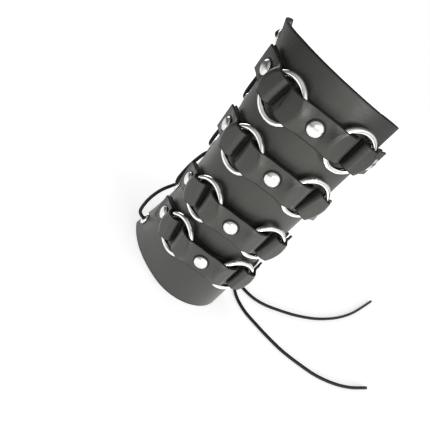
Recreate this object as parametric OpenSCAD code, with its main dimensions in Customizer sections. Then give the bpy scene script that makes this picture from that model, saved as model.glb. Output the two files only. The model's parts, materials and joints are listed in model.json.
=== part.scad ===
// Laced forearm gauntlet. A curved leather panel is open along the back and laced across it.
// Four bands of leather straps and O-rings are riveted to its front.
// Millimetres. +Z runs from the wrist rim, which it stands on, up to the elbow rim.
// The front faces -Y, and the origin is in the middle of the front wall at the wrist rim.

/* [Panel] */
// Length of the panel along its centre line, from the wrist rim to the elbow rim
panel_len = 205; // [196:1:240]
// Width of the panel around the arm, measured on its outer face
panel_w = 172; // [168:1:184]
// How much higher the elbow rim's left corner is cut than its middle, and the right corner lower
rim_skew = 5.7; // [0:0.1:8]
// Thickness of the panel leather
panel_t = 3; // [2:0.1:4]
// Radius of the front of the outer face at the wrist rim
wrist_r = 36.4; // [35:0.1:44]
// Radius of the front of the outer face at the elbow rim
elbow_r = 52; // [46:0.5:58]
// How fast the left flap turns at the wrist rim, as a share of the front's own curvature
left_wrist_turn = 0.4; // [0.2:0.01:1]
// How fast the right flap turns at the wrist rim, as a share of the front's own curvature
right_wrist_turn = 1.12; // [0.3:0.01:1.2]
// How fast the left flap turns at the elbow rim, as a share of the front's own curvature
left_elbow_turn = 1.54; // [1:0.01:1.9]
// How fast the right flap turns at the elbow rim, as a share of the front's own curvature
right_elbow_turn = 1.86; // [1:0.01:1.9]
// Angle of the front arc left of the centre line at the wrist rim, where the flap begins
left_wrist_front = 29; // [20:1:50]
// How far the left back corner at the elbow rim curls away from the arm
corner_flare = 7.5; // [0:0.5:9]

/* [Bands] */
// Height of the lowest band above the wrist rim
first_band_z = 49; // [46:0.5:54]
// Distance from one band to the next
band_pitch = 42.3; // [41:0.1:46]
// How far each band, from the elbow down, lies off its even place
band_shift = [0, 0.8, -3.6, 0]; // [-3.6:0.2:3.6]
// Angle by which each left end strap is turned up about its O-ring, from the elbow down
left_lean = [15.5, 5.5, -8, -5]; // [-17:0.5:17]
// Angle by which each right end strap is turned up about its O-ring, from the elbow down
right_lean = [-3, -16.5, -10, -6.5]; // [-17:0.5:17]
// Distance along the panel's face from the centre line to the middle of each O-ring
ring_arc = 25.1; // [24.8:0.1:26]
// Distance along the panel's face from the middle of an O-ring to the end rivet beside it
end_reach = 24; // [23.8:0.1:26]

/* [Straps] */
// Width of the straps
strap_w = 20; // [18:0.5:22]
// Thickness of the strap leather
strap_t = 1.8; // [1.4:0.1:2]
// Length of an end strap past its rivet
tab_len = 9.5; // [7:0.5:10]
// How far an end strap's under layer reaches past its top layer
tab_step = 1.5; // [0:0.1:2.5]
// How far each under layer of a centre strap reaches past the rivet's middle
under_lap = 5.5; // [4:0.1:6]
// Gap between the noses of the two folds inside an O-ring
nose_gap = 3.5; // [3.5:0.1:5]
// Distance from an O-ring's middle outwards to the middle of that gap
nose_shift = 1.3; // [0:0.1:1.3]
// Length over which a centre strap's top layer turns down to its nose
centre_nose_len = 6; // [4:0.1:6.5]
// Length over which an end strap's top layer turns down to its nose
end_nose_len = 3.2; // [3:0.1:6]
// Share of its way down that the top layer loses first, which makes a crease where it turns down
nose_dip = 0.35; // [0.1:0.05:0.5]
// Radius of the tight bend at the foot of a nose, at the middle of the leather
nose_bend = 1.3; // [1.2:0.05:1.5]
// Space kept under the top layer of a centre strap at its rivet
centre_lift = 1; // [0.5:0.1:2]
// Space kept under the top layer of an end strap at its rivet
end_lift = 1; // [0.5:0.1:2]
// How far the free end of a tab stands up from the panel
tab_rise = 1.6; // [0:0.1:2]

/* [O-rings] */
// Outer diameter of an O-ring
ring_od = 34; // [33:0.2:34.2]
// Thickness of an O-ring's wire
wire_d = 4; // [3.4:0.1:4.2]

/* [Rivets] */
// Diameter of a rivet cap
cap_d = 10.4; // [9:0.1:10.6]
// Height of a rivet cap's dome
cap_h = 2.2; // [1.6:0.1:3]
// Diameter of a rivet's post
post_d = 3.2; // [2.4:0.1:4]
// Diameter of the cap on the inside of the panel
back_cap_d = 9; // [7:0.1:10]
// Thickness of the cap on the inside of the panel
back_cap_h = 1.2; // [0.8:0.1:1.6]

/* [Eyelets and lace] */
// Number of eyelets along each seam edge
eyelet_count = 5; // [4:1:7]
// Distance from each rim to the nearest eyelet
eyelet_margin = 13; // [11:0.5:15]
// Distance from the seam edge to the eyelets, along the panel's face
eyelet_inset = 8; // [7:0.5:10]
// Outer diameter of an eyelet
eyelet_od = 11; // [9:0.1:12]
// Diameter of an eyelet's hole
eyelet_hole = 5.6; // [5:0.1:6]
// Height of an eyelet's rolled rim above the leather
eyelet_rim_h = 1.6; // [1.2:0.1:2.2]
// Diameter of the lace
lace_d = 3; // [2.4:0.1:3.2]
// Height of the loosest arc of lace above the panel, at the wrist
lace_lift = 8; // [5:0.5:10]
// Height of the tightest arc of lace above the panel, at the elbow
lace_top_lift = 3; // [3:0.5:5]
// How far the laced crossings bow out behind the seam edges
lace_bow = 24; // [18:1:34]

/* [Clearances] */
// Running gap between an O-ring's wire and the strap folded round it
ring_gap = 0.45; // [0.45:0.05:0.6]
// Gap under a part that lies on leather
seat_gap = 0.15; // [0.1:0.05:0.25]
// Gap between a post, a barrel or a lace and its hole
hole_gap = 0.1; // [0.05:0.05:0.2]

/* [Hidden] */
$fn = 48;

leather_colour = [0.13, 0.13, 0.13];
strap_colour = [0.17, 0.17, 0.17];
chrome_colour = [0.8, 0.81, 0.83];
nickel_colour = [0.74, 0.74, 0.73];
lace_colour = [0.05, 0.05, 0.05];

LEFT = -1;
RIGHT = 1;
// Angle of the front arc on each side of the centre line, apart from the left side at the wrist
front_deg = 50;
front_mid = wrist_r - panel_t / 2;
ring_r = (ring_od - wire_d) / 2;
cap_r = cap_d / 2;
// Space along a strap between a rivet cap and the place where the strap leaves the flat
cap_space = 0.5;
// Tightest radius of the panel's hollow inner face, which a flat cap spans
hollow_r = min(
    wrist_r / max(1, right_wrist_turn),
    elbow_r / max(left_elbow_turn, right_elbow_turn)
) - panel_t;
// Heights above the panel's face of the middle of a strap's layers
layer_1 = seat_gap + strap_t / 2;
layer_2 = layer_1 + strap_t + seat_gap;
centre_top = layer_2 + strap_t + seat_gap + centre_lift;
end_top = layer_2 + end_lift;
// Distance from an O-ring's middle to its wire at the strap's edges
edge_chord = sqrt(pow(ring_r, 2) - pow(strap_w / 2, 2));
// An O-ring lies just clear of the layer under it where the face is flattest and that layer's edge,
// on the strap that is turned most, comes nearest to the line up the panel through the ring's middle
flattest_r = max(elbow_r, front_r(first_band_z) / flap_turn(first_band_z, LEFT));
most_lean = max([for (lean = concat(left_lean, right_lean)) abs(lean)]);
low_chord = ring_r * cos(asin(strap_w / 2 / ring_r) + most_lean);
ring_h = seat_gap + strap_t + ring_gap + wire_d / 2 - pow(low_chord, 2) / (2 * flattest_r);
// Middle of the strap where it wraps the wire, and where the fold turns back in the hole
wrap_r = wire_d / 2 + ring_gap + strap_t / 2;
stations = 7;
bulge = pow(strap_w / (stations - 1), 2) / (8 * edge_chord) * ring_r / edge_chord;
band_count = 4;
// Sheet metal of an eyelet: its barrel, its flange inside and the upright edge of its rolled rim
eyelet_wall = 0.6;
eyelet_flange_t = 0.8;
eyelet_edge_h = 0.3;
// Shares of the panel's length and of its half width where the left back corner begins to curl
flare_up = 0.8;
flare_across = 0.5;
nose_steps = 5;
bend_steps = 3;
wrap_steps = 4;

function degrees_of(x) = x * 180 / PI;
function mix(a, b, k) = a + (b - a) * k;
function unit(v) = v / norm(v);
function backwards(list) = [for (i = [len(list) - 1:-1:0]) list[i]];
function band_z(i) = first_band_z + (band_count - i) * band_pitch + band_shift[i - 1];
eyelet_arc = panel_w / 2 - eyelet_inset;

// Height of the elbow rim, and of eyelet k on one side, which are spread evenly between the rims
function rim_z(s) = panel_len - rim_skew * s / (panel_w / 2);
function eyelet_z(k, side) =
    mix(eyelet_margin, rim_z(side * eyelet_arc) - eyelet_margin, (k - 1) / (eyelet_count - 1));

// Radius and angle of the front arc, and turning rate of the flaps, at height z
function front_r(z) = mix(wrist_r, elbow_r, z / panel_len);
function front_angle(z, s) = mix(s < 0 ? left_wrist_front : front_deg, front_deg, z / panel_len);
function flap_turn(z, s) =
    s < 0 ? mix(left_wrist_turn, left_elbow_turn, z / panel_len)
    : mix(right_wrist_turn, right_elbow_turn, z / panel_len);

// How far the left back corner has curled out
function flare(z, s) =
    corner_flare * pow(max(0, (z / panel_len - flare_up) / (1 - flare_up)), 2)
    * max(0, (-s / (panel_w / 2) - flare_across) / (1 - flare_across));

// Angle that the outer face has turned through at distance s along it from the centre line
function turned(z, s) =
    let (r = front_r(z), front = front_angle(z, s), past = abs(s) - r * front * PI / 180)
    sign(s) * (past <= 0 ? degrees_of(abs(s) / r) : front + degrees_of(past * flap_turn(z, s) / r));

// Point at height z, distance s along the outer face and h outwards from it
function at(z, s, h = 0) =
    let (
        r = front_r(z),
        a = turned(z, s),
        b = min(abs(a), front_angle(z, s)),
        flap_r = r / flap_turn(z, s),
        lift = h + flare(z, s),
        u = r * sin(b) + flap_r * (sin(abs(a)) - sin(b)),
        v = r * cos(b) + flap_r * (cos(abs(a)) - cos(b))
    )
    [sign(s) * u + lift * sin(a), front_mid - v - lift * cos(a), z];

// Axes on the outer face: origin, along the face, up the panel, outwards
function face_axes(z, s) =
    let (
        along = unit(at(z, s + 0.5) - at(z, s - 0.5)),
        out = unit(cross(along, at(z + 1, s) - at(z - 1, s)))
    )
    [at(z, s), along, cross(out, along), out];

// Puts children, modelled along +Z, on the outer face with +Z outwards
module on_face(z, s, h = 0) {
    f = face_axes(z, s);
    o = f[0] + f[3] * h;
    multmatrix([
        [f[1][0], f[2][0], f[3][0], o[0]],
        [f[1][1], f[2][1], f[3][1], o[1]],
        [f[1][2], f[2][2], f[3][2], o[2]],
        [0, 0, 0, 1]
    ]) children();
}

// A sheet of leather between two matching grids of points, one on each of its faces
module sheet(front, back) {
    n = len(front);
    m = len(front[0]);
    half = n * m;
    points = concat([for (row = front) each row], [for (row = back) each row]);
    rim = concat(
        [for (i = [0:n - 1]) i * m],
        [for (j = [1:m - 1]) (n - 1) * m + j],
        [for (i = [n - 2:-1:0]) i * m + m - 1],
        [for (j = [m - 2:-1:1]) j]
    );
    faces = concat(
        [for (i = [0:n - 2], j = [0:m - 2])
            let (a = i * m + j)
            each [[a, a + 1, a + m + 1], [a, a + m + 1, a + m]]],
        [for (i = [0:n - 2], j = [0:m - 2])
            let (a = half + i * m + j)
            each [[a, a + m + 1, a + 1], [a, a + m, a + m + 1]]],
        [for (i = [0:len(rim) - 1])
            let (a = rim[i], b = rim[(i + 1) % len(rim)])
            each [[a, b, b + half], [a, b + half, a + half]]]
    );
    polyhedron(points = points, faces = faces, convexity = 10);
}

// Direction out of the sheet at place i, j of a grid of points in its middle
function sheet_out(mid, i, j) =
    let (n = len(mid) - 1, m = len(mid[0]) - 1)
    unit(cross(
        mid[min(i + 1, n)][j] - mid[max(i - 1, 0)][j],
        mid[i][min(j + 1, m)] - mid[i][max(j - 1, 0)]
    ));

function moved_out(mid, h) =
    [for (i = [0:len(mid) - 1]) [for (j = [0:len(mid[0]) - 1]) mid[i][j] + h * sheet_out(mid, i, j)]];

// A strap of leather from the route of its middle at each station across its width
module strap(routes) {
    mid = [for (i = [0:len(routes[0]) - 1]) [for (j = [0:stations - 1]) routes[j][i]]];
    sheet(moved_out(mid, strap_t / 2), moved_out(mid, -strap_t / 2));
}

function station(j) = (j / (stations - 1) - 0.5) * strap_w;

// Point on a strap that is turned up by an angle about its ring, at distance p outwards from the
// ring's middle, w across the strap and h above the face
function leaned(z, side, lean, p, w, h = 0) =
    at(z + w * cos(lean) + p * sin(lean), side * (ring_arc + p * cos(lean) - w * sin(lean)), h);

// Distance from a ring's middle to a strap's nose at the middle of its thickness, where dir is 1
// for a strap that comes from outside the ring's middle and -1 for one from the centre line
function nose_tip(dir) = nose_gap / 2 + dir * nose_shift + strap_t / 2;

// Point on a curve that leaves a towards the corner b and comes from there to c
function curve(a, b, c, t) = a * pow(1 - t, 2) + b * 2 * t * (1 - t) + c * pow(t, 2);

// Part of a strap round a ring, from its top layer into the ring's hole and back under the wire.
// side is the ring's side, w is the distance across the strap from its middle, and the strap
// leaves the rivet at distance reach from the ring's middle and h_flat above the face.
function fold(z, side, dir, lean, w, reach, h_flat) =
    let (
        f = face_axes(z, side * ring_arc),
        outward = side * f[1] * cos(lean) + f[2] * sin(lean),
        across = f[2] * cos(lean) - side * f[1] * sin(lean),
        o = f[0] + f[3] * ring_h + across * w,
        start = leaned(z, side, lean, dir * reach, w, h_flat) - o,
        wire_p = sqrt(pow(ring_r, 2) - pow(w, 2)),
        // The wire crosses the strap at a slant away from the band's middle, and bulges between stations
        wrap_p = wrap_r + wire_d / 2 * (ring_r / wire_p - 1) + bulge,
        run = (abs(start * outward) - wire_p) * wrap_r / wrap_p,
        drop = -start * f[3],
        wrap = asin(wrap_r / norm([run, drop])) + atan2(drop, run),
        tip = nose_tip(dir),
        low = (leaned(z, side, lean, dir * (tip + nose_bend), w, layer_1) - o) * f[3],
        bend = [tip + nose_bend, low + nose_bend],
        crease = [tip + (dir > 0 ? end_nose_len : centre_nose_len), wrap_r],
        corner = [tip, mix(wrap_r, bend[1], nose_dip)],
        nose = [for (k = [0:nose_steps]) curve(crease, corner, [tip, bend[1]], k / nose_steps)],
        foot = [for (k = [1:bend_steps]) let (a = 90 * k / bend_steps) bend - nose_bend * [cos(a), sin(a)]]
    )
    concat(
        [for (k = [0:wrap_steps]) let (a = 90 - wrap * (1 - k / wrap_steps))
            o + dir * outward * (wire_p + wrap_p * cos(a)) + f[3] * wrap_r * sin(a)],
        [for (q = concat(nose, foot)) o + dir * outward * q[0] + f[3] * q[1]]
    );

// Points spread evenly along the face between two distances, at one height
function lying(z, from, to, h, steps) = [for (k = [0:steps]) at(z, mix(from, to, k / steps), h)];

// Half of a centre strap at one station, from the rivet out to the ring and back underneath
function centre_half(z, side, w, under_h) =
    let (s_flat = cap_r + cap_space)
    concat(
        [at(z + w, side * s_flat / 2, centre_top), at(z + w, side * s_flat, centre_top)],
        fold(z, side, -1, 0, w, ring_arc - s_flat, centre_top),
        lying(z + w, side * (ring_arc - nose_tip(-1) - nose_bend), side * (ring_arc - ring_r), layer_1, 2),
        lying(z + w, side * (cap_r + 2 * cap_space), -side * under_lap, under_h, 2)
    );

module centre_strap(i) {
    z = band_z(i);
    color(strap_colour)
    difference() {
        strap([for (j = [0:stations - 1]) let (w = station(j)) concat(
            backwards(centre_half(z, LEFT, w, layer_1)),
            [at(z + w, 0, centre_top)],
            centre_half(z, RIGHT, w, layer_2)
        )]);
        rivet_hole([z, 0]);
    }
}

function end_lean(i, side) = side == LEFT ? left_lean[i - 1] : right_lean[i - 1];

// Height and distance along the face of the end rivet of a band
function end_rivet(i, side) =
    let (lean = end_lean(i, side))
    [band_z(i) + end_reach * sin(lean), side * (ring_arc + end_reach * cos(lean))];

// Whole route of an end strap at one station, as distances from the ring's middle and heights
function end_route(z, side, lean, w) =
    let (
        flat = end_reach - cap_r - cap_space,
        tab = end_reach + tab_len,
        tab_path = [[tab, end_top + tab_rise], [end_reach + cap_r, end_top + tab_rise / 8],
            [end_reach, end_top], [flat, end_top]],
        under_path = [for (k = [0:4]) [mix(nose_tip(1) + nose_bend, end_reach, k / 4), layer_1]],
        last_path = [[end_reach + cap_r, layer_1 + tab_rise / 8], [tab + tab_step, layer_1 + tab_rise]]
    )
    concat(
        [for (q = tab_path) leaned(z, side, lean, q[0], w, q[1])],
        fold(z, side, 1, lean, w, flat, end_top),
        [for (q = concat(under_path, last_path)) leaned(z, side, lean, q[0], w, q[1])]
    );

module end_strap(i, side) {
    color(strap_colour)
    difference() {
        strap([for (j = [0:stations - 1]) end_route(band_z(i), side, end_lean(i, side), station(j))]);
        rivet_hole(end_rivet(i, side));
    }
}

module o_ring(i, side) {
    color(chrome_colour)
    on_face(band_z(i), side * ring_arc, ring_h)
    rotate_extrude() translate([ring_r, 0]) circle(d = wire_d);
}

// Clear hole for a rivet's post through everything that it holds, at a height and distance on the face
module rivet_hole(place) {
    on_face(place[0], place[1], -2 * panel_t)
    cylinder(d = post_d + 2 * hole_gap, h = 2 * panel_t + 4 * wire_d);
}

// Outline of a cap: a dome that meets its flat underside in a rolled edge
function cap_outline(r, h) = concat(
    [[0, 0], [r - h / 4, 0]],
    [for (a = [0:15:90]) [(r - h / 3) * cos(a) + h / 3 * (1 - a / 90), h / 4 + (h * 3 / 4) * sin(a)]]
);

// Gap between the hollow inner face and a flat disc of radius r that only its edge touches
function disc_gap(r) = seat_gap + pow(r, 2) / (2 * hollow_r);

// Rivet whose cap lies on a strap's top layer, with its post through the panel to the back cap
module rivet(place, top) {
    h = top + strap_t / 2 + seat_gap / 3;
    back = -panel_t - disc_gap(back_cap_d / 2) - back_cap_h;
    on_face(place[0], place[1]) {
        translate([0, 0, h]) rotate_extrude() polygon(cap_outline(cap_r, cap_h));
        translate([0, 0, back]) cylinder(d = post_d, h = h + cap_h / 2 - back);
        translate([0, 0, back]) cylinder(d1 = back_cap_d - back_cap_h, d2 = back_cap_d, h = back_cap_h);
    }
}

module centre_rivets() {
    color(nickel_colour)
    for (i = [1:band_count]) rivet([band_z(i), 0], centre_top);
}

module end_rivets(side) {
    color(nickel_colour)
    for (i = [1:band_count]) rivet(end_rivet(i, side), end_top);
}

// Eyelet with its barrel through the panel, a rolled rim outside and a flat flange inside
module eyelet(z, s) {
    bore = eyelet_hole / 2;
    barrel = bore + eyelet_wall;
    rim = eyelet_od / 2;
    flange = rim - eyelet_wall;
    mid = (bore + rim) / 2;
    rise = eyelet_rim_h - eyelet_edge_h;
    seat = -panel_t - disc_gap(flange);
    on_face(z, s, seat_gap)
    rotate_extrude() polygon(concat(
        [[flange, seat - eyelet_flange_t], [flange, seat], [barrel, seat], [barrel, 0]],
        [for (a = [0:15:180]) [mid + (rim - bore) / 2 * cos(a), eyelet_edge_h + rise * sin(a)]],
        [[bore, seat - eyelet_flange_t]]
    ));
}

module eyelets(side) {
    color(nickel_colour)
    for (k = [1:eyelet_count]) eyelet(eyelet_z(k, side), side * eyelet_arc);
}

module panel() {
    across = 40;
    up = 14;
    s = [for (i = [0:across]) panel_w * (i / across - 0.5)];
    color(leather_colour)
    difference() {
        sheet(
            [for (i = [0:across]) [for (j = [0:up]) at(rim_z(s[i]) * j / up, s[i])]],
            [for (i = [0:across]) [for (j = [0:up]) at(rim_z(s[i]) * j / up, s[i], -panel_t)]]
        );
        for (i = [1:band_count]) {
            rivet_hole([band_z(i), 0]);
            for (side = [LEFT, RIGHT]) rivet_hole(end_rivet(i, side));
        }
        for (k = [1:eyelet_count], side = [LEFT, RIGHT])
            on_face(eyelet_z(k, side), side * eyelet_arc, -2 * panel_t)
            cylinder(d = eyelet_hole + 2 * eyelet_wall + 2 * hole_gap, h = 4 * panel_t);
    }
}

// A round cord of eight sides swept along a route of points
module cord(route) {
    n = len(route);
    sides = 8;
    dirs = [for (i = [0:n - 1]) unit(route[min(i + 1, n - 1)] - route[max(i - 1, 0)])];
    axes = side_axes(dirs);
    points = [for (i = [0:n - 1]) for (k = [0:sides - 1])
        let (a = 360 * k / sides, u = axes[i], v = cross(dirs[i], u))
        route[i] + lace_d / 2 * (u * cos(a) + v * sin(a))];
    faces = concat(
        [for (k = [1:sides - 2]) [0, k, k + 1]],
        [for (k = [1:sides - 2]) let (e = (n - 1) * sides) [e, e + k + 1, e + k]],
        [for (i = [0:n - 2], k = [0:sides - 1])
            let (a = i * sides + k, b = i * sides + (k + 1) % sides)
            each [[a, a + sides, b + sides], [a, b + sides, b]]]
    );
    polyhedron(points = points, faces = faces, convexity = 10);
}

// One sideways axis for each direction along a cord, each carried on from the one before
function side_axes(dirs, i = 0, last = [0, 0, 1], done = []) =
    i == len(dirs) ? done :
    let (
        raw = last - dirs[i] * (last * dirs[i]),
        safe = norm(raw) > 0.01 ? raw : [1, 0, 0] - dirs[i] * dirs[i][0],
        u = unit(safe)
    )
    side_axes(dirs, i + 1, u, concat(done, [u]));

// Points of a smooth curve through a route, with extra steps between its own points
function smooth(route, steps) =
    let (n = len(route) - 1)
    concat(
        [for (i = [0:n - 1], k = [0:steps - 1])
            let (
                t = k / steps,
                b = route[i],
                c = route[i + 1],
                a = i > 0 ? route[i - 1] : 2 * b - c,
                d = i < n - 1 ? route[i + 2] : 2 * c - b
            )
            b + (c - a) * t / 2 + (2 * a - 5 * b + 4 * c - d) * t * t / 2
            + (3 * b - a - 3 * c + d) * t * t * t / 2],
        [route[n]]
    );

// Lace from the back of the seam edge, under it and out through an eyelet
function lace_in(k, side) =
    let (z = eyelet_z(k, side), s = eyelet_arc, under = -panel_t - lace_d * 1.15)
    [
        at(z - lace_d / 2, side * (panel_w / 2 + lace_d), under + lace_d / 2),
        at(z - lace_d / 4, side * (s + lace_d), under),
        at(z, side * s, -panel_t - lace_d / 4),
        at(z, side * s, lace_d * 2 / 3)
    ];

// Loose arc of lace, as shares of the way up to the next eyelet, out to the edge and of its full lift
arc_path = [
    [0.06, 0.1, 0.72], [0.18, 0.24, 0.95], [0.38, 0.42, 1], [0.58, 0.62, 0.82], [0.74, 0.86, 0.46]
];

// Height of the arc of lace at an eyelet, which falls quickly from the wrist up
function arc_lift(k) =
    lace_top_lift + (lace_lift - lace_top_lift) * pow(1 - (k - 1) / (eyelet_count - 1), 8);

// Loose arc of lace from an eyelet up to where it goes over the seam edge, near the next eyelet
function lace_arc(k, side) =
    let (
        z = eyelet_z(k, side),
        pitch = eyelet_z(k + 1, side) - z,
        s = eyelet_arc,
        over = panel_w / 2 + lace_d - s
    )
    [for (q = arc_path)
        at(z + pitch * q[0], side * (s + over * q[1]), arc_lift(k) * q[2] + lace_d / 2)];

// Lace from the topmost eyelet straight over the seam edge
function lace_over(side) =
    let (z = eyelet_z(eyelet_count, side), s = eyelet_arc)
    [
        at(z + lace_d / 2, side * (s + lace_d / 2), lace_top_lift * 0.7 + lace_d / 2),
        at(z + lace_d, side * (s + 2 * lace_d), lace_top_lift * 0.6 + lace_d / 2),
        at(z + lace_d, side * (panel_w / 2 + lace_d), lace_d)
    ];

// Bowed crossing behind the arm from one point of the lace to another
function crossing(from, to, bow) =
    [for (i = [1:crossing_steps - 1])
        let (k = i / crossing_steps, across = (1 - cos(180 * k)) / 2)
        mix(from, to, k) + [(across - k) * (to[0] - from[0]), bow * sin(180 * k), 0]];

// Lace from the wrist eyelet of one side, across and across again, to the last eyelet
function lace_up(side, bow, k = 1, done = []) =
    k == eyelet_count ? concat(done, lace_in(k, side), lace_over(side)) :
    let (
        arc = concat(lace_in(k, side), lace_arc(k, side)),
        next = lace_in(k + 1, -side)
    )
    lace_up(-side, bow, k + 1, concat(done, arc, crossing(arc[len(arc) - 1], next[0], bow)));

crossing_steps = 6;
bow_step = lace_d + 4 * hole_gap;

// Route of the whole lacing, from the wrist eyelet on the left to the one on the right
lacing =
    let (
        first = lace_up(LEFT, lace_bow),
        second = lace_up(RIGHT, lace_bow + bow_step),
        top = crossing(first[len(first) - 1], second[len(second) - 1], lace_bow)
    )
    smooth(concat(first, top, backwards(second)), 2);

module back_lacing() {
    color(lace_colour) cord(lacing);
}

// Routes of the two loose lace ends, from their wrist eyelets to the surface that the gauntlet
// stands on and out to the right. The first point of each is where the lacing ends.
lie = lace_d / 2 + hole_gap;
end_a_route = [
    [13, 63, 10], [15, 68, 8], [20, 72, 6], [27, 74, 4], [34, 73, 2], [41, 69, lie], [47, 62, lie],
    [51, 53, lie], [57, 45, lie], [66, 38, lie], [78, 33, lie], [92, 28, lie], [108, 24, lie], [126, 23, lie],
    [145, 24, lie], [165, 30, lie], [184, 40, lie], [204, 55, lie]
];
end_b_route = [
    [-54, 66, 10], [-52, 73, 7], [-45, 79, 4], [-35, 82, 2], [-20, 82, lie], [0, 81, lie], [20, 80, lie],
    [38, 76, lie], [54, 69, lie], [68, 65, lie], [82, 67, lie], [98, 74, lie], [118, 85, lie],
    [140, 101, lie], [160, 120, lie], [178, 141, lie], [195, 165, lie], [211, 192, lie], [228, 222, lie]
];

// A loose end that carries straight on from one end of the lacing's route, given backwards for the last
module lace_end(laced, route) {
    color(lace_colour) cord(concat([laced[0]], smooth(concat([2 * laced[0] - laced[1]], route), 2)));
}

panel();
centre_strap(1);  // centre_strap_1
centre_strap(2);  // centre_strap_2
centre_strap(3);  // centre_strap_3
centre_strap(4);  // centre_strap_4
end_strap(1, LEFT);  // left_end_strap_1
end_strap(2, LEFT);  // left_end_strap_2
end_strap(3, LEFT);  // left_end_strap_3
end_strap(4, LEFT);  // left_end_strap_4
end_strap(1, RIGHT);  // right_end_strap_1
end_strap(2, RIGHT);  // right_end_strap_2
end_strap(3, RIGHT);  // right_end_strap_3
end_strap(4, RIGHT);  // right_end_strap_4
o_ring(1, LEFT);  // left_o_ring_1
o_ring(2, LEFT);  // left_o_ring_2
o_ring(3, LEFT);  // left_o_ring_3
o_ring(4, LEFT);  // left_o_ring_4
o_ring(1, RIGHT);  // right_o_ring_1
o_ring(2, RIGHT);  // right_o_ring_2
o_ring(3, RIGHT);  // right_o_ring_3
o_ring(4, RIGHT);  // right_o_ring_4
centre_rivets();
end_rivets(LEFT);  // left_end_rivets
end_rivets(RIGHT);  // right_end_rivets
eyelets(LEFT);  // left_eyelets
eyelets(RIGHT);  // right_eyelets
back_lacing();
lace_end(backwards(lacing), end_a_route);  // lace_end_a
lace_end(lacing, end_b_route);  // lace_end_b
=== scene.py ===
"""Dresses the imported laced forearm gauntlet: leather panel and straps, chromed rings, caps, lace."""

import json
import logging
import math
from collections.abc import Callable, Sequence
from dataclasses import dataclass
from enum import Enum, IntEnum

import bmesh
import bpy
import numpy as np
from mathutils import Matrix

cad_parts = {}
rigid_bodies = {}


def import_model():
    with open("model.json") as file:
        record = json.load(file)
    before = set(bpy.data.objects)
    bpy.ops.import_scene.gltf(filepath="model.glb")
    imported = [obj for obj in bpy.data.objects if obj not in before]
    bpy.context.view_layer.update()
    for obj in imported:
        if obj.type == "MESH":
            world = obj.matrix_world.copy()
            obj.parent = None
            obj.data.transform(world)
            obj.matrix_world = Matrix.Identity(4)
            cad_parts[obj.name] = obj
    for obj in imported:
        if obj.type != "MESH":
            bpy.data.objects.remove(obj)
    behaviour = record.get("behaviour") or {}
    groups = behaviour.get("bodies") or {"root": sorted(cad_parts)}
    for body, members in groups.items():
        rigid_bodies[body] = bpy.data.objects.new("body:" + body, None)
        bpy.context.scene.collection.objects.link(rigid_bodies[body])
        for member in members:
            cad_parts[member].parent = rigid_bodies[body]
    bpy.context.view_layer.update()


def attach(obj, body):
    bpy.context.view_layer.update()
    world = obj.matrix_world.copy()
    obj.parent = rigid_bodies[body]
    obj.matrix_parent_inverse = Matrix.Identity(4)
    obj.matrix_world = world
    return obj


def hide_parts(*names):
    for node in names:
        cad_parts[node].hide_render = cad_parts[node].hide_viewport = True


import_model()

log = logging.getLogger("gauntlet")
MM = 0.001
Array = np.ndarray
Obj = bpy.types.Object
Material = bpy.types.Material
Socket = bpy.types.NodeSocket
Pair = tuple[float, float]
Triple = tuple[float, float, float]
Face = tuple[int, int, int, int]
Inputs = dict[str | int, object]
# Scale and detail of a noise texture
Noise = tuple[float, float]
# Vertex attributes of leather pieces: how far a vertex is on a cut edge, with a share of that dark as painted
# shade on the face beside it, and how far a ring of painted shade round a rivet cap covers it
MARKS = ("cut", "press")
# Distances in metres under which vertices are one: at a lathe's poles and seam, and on any closed mesh
POLE_M = 1e-5
WELD_M = 1e-7
# How near a lathe's row number has to be to count as that row
ROW_MATCH = 0.25
# Shorter lengths are divided by as this one
LEAST = 1e-12


class Side(IntEnum):
    """Side of the centre line, as the number that a distance along the face is multiplied by."""

    LEFT = -1
    RIGHT = 1

    @property
    def word(self) -> str:
        """The side as it stands in the names of the nodes."""
        return self.name.lower()


class Slot(Enum):
    """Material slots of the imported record."""

    PANEL = "panel_leather"
    STRAP = "strap_leather"
    RING = "ring_chrome"
    RIVET = "rivet_nickel"
    EYELET = "eyelet_nickel"
    LACE = "lace_cord"


def unit(v: Array) -> Array:
    """Vectors of length one along the last axis."""
    return v / np.maximum(np.linalg.norm(v, axis=-1, keepdims=True), LEAST)


def smooth_route(route: Array, steps: int) -> Array:
    """A Catmull-Rom curve through every point of a route.

    Args:
        route: Points, one per row.
        steps: Steps between one point and the next.

    Returns:
        The points of the curve, the route's own points among them.
    """
    ends = np.vstack([2 * route[0] - route[1], route, 2 * route[-1] - route[-2]])
    a, b, c, d = ends[:-3, None], ends[1:-2, None], ends[2:-1, None], ends[3:, None]
    t = (np.arange(steps) / steps)[None, :, None]
    curve = b + (c - a) * t / 2 + (2 * a - 5 * b + 4 * c - d) * t**2 / 2 + (3 * b - a - 3 * c + d) * t**3 / 2
    return np.vstack([curve.reshape(-1, 3), route[-1:]])


def run_along(route: Array) -> Array:
    """Distance of each point of a polyline from its start, along it."""
    return np.concatenate([[0.0], np.cumsum(np.linalg.norm(np.diff(route, axis=0), axis=1))])


def tube_faces(rings: int, sides: int, closed: bool = False) -> list[Face]:
    """Faces of a tube whose points are numbered ring by ring, with open ends or closed on itself."""
    faces = []
    for i in range(rings if closed else rings - 1):
        here, there = i * sides, (i + 1) % rings * sides
        for k in range(sides):
            after = (k + 1) % sides
            faces.append((here + k, here + after, there + after, there + k))
    return faces


def resample(route: Array, places: Array) -> Array:
    """Points of a polyline at given shares of its length.

    Args:
        route: Points of the polyline.
        places: Shares from 0 to 1.

    Returns:
        One point for each share.
    """
    run = run_along(route)
    return np.stack([np.interp(places * run[-1], run, route[:, k]) for k in range(3)], axis=1)


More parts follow.
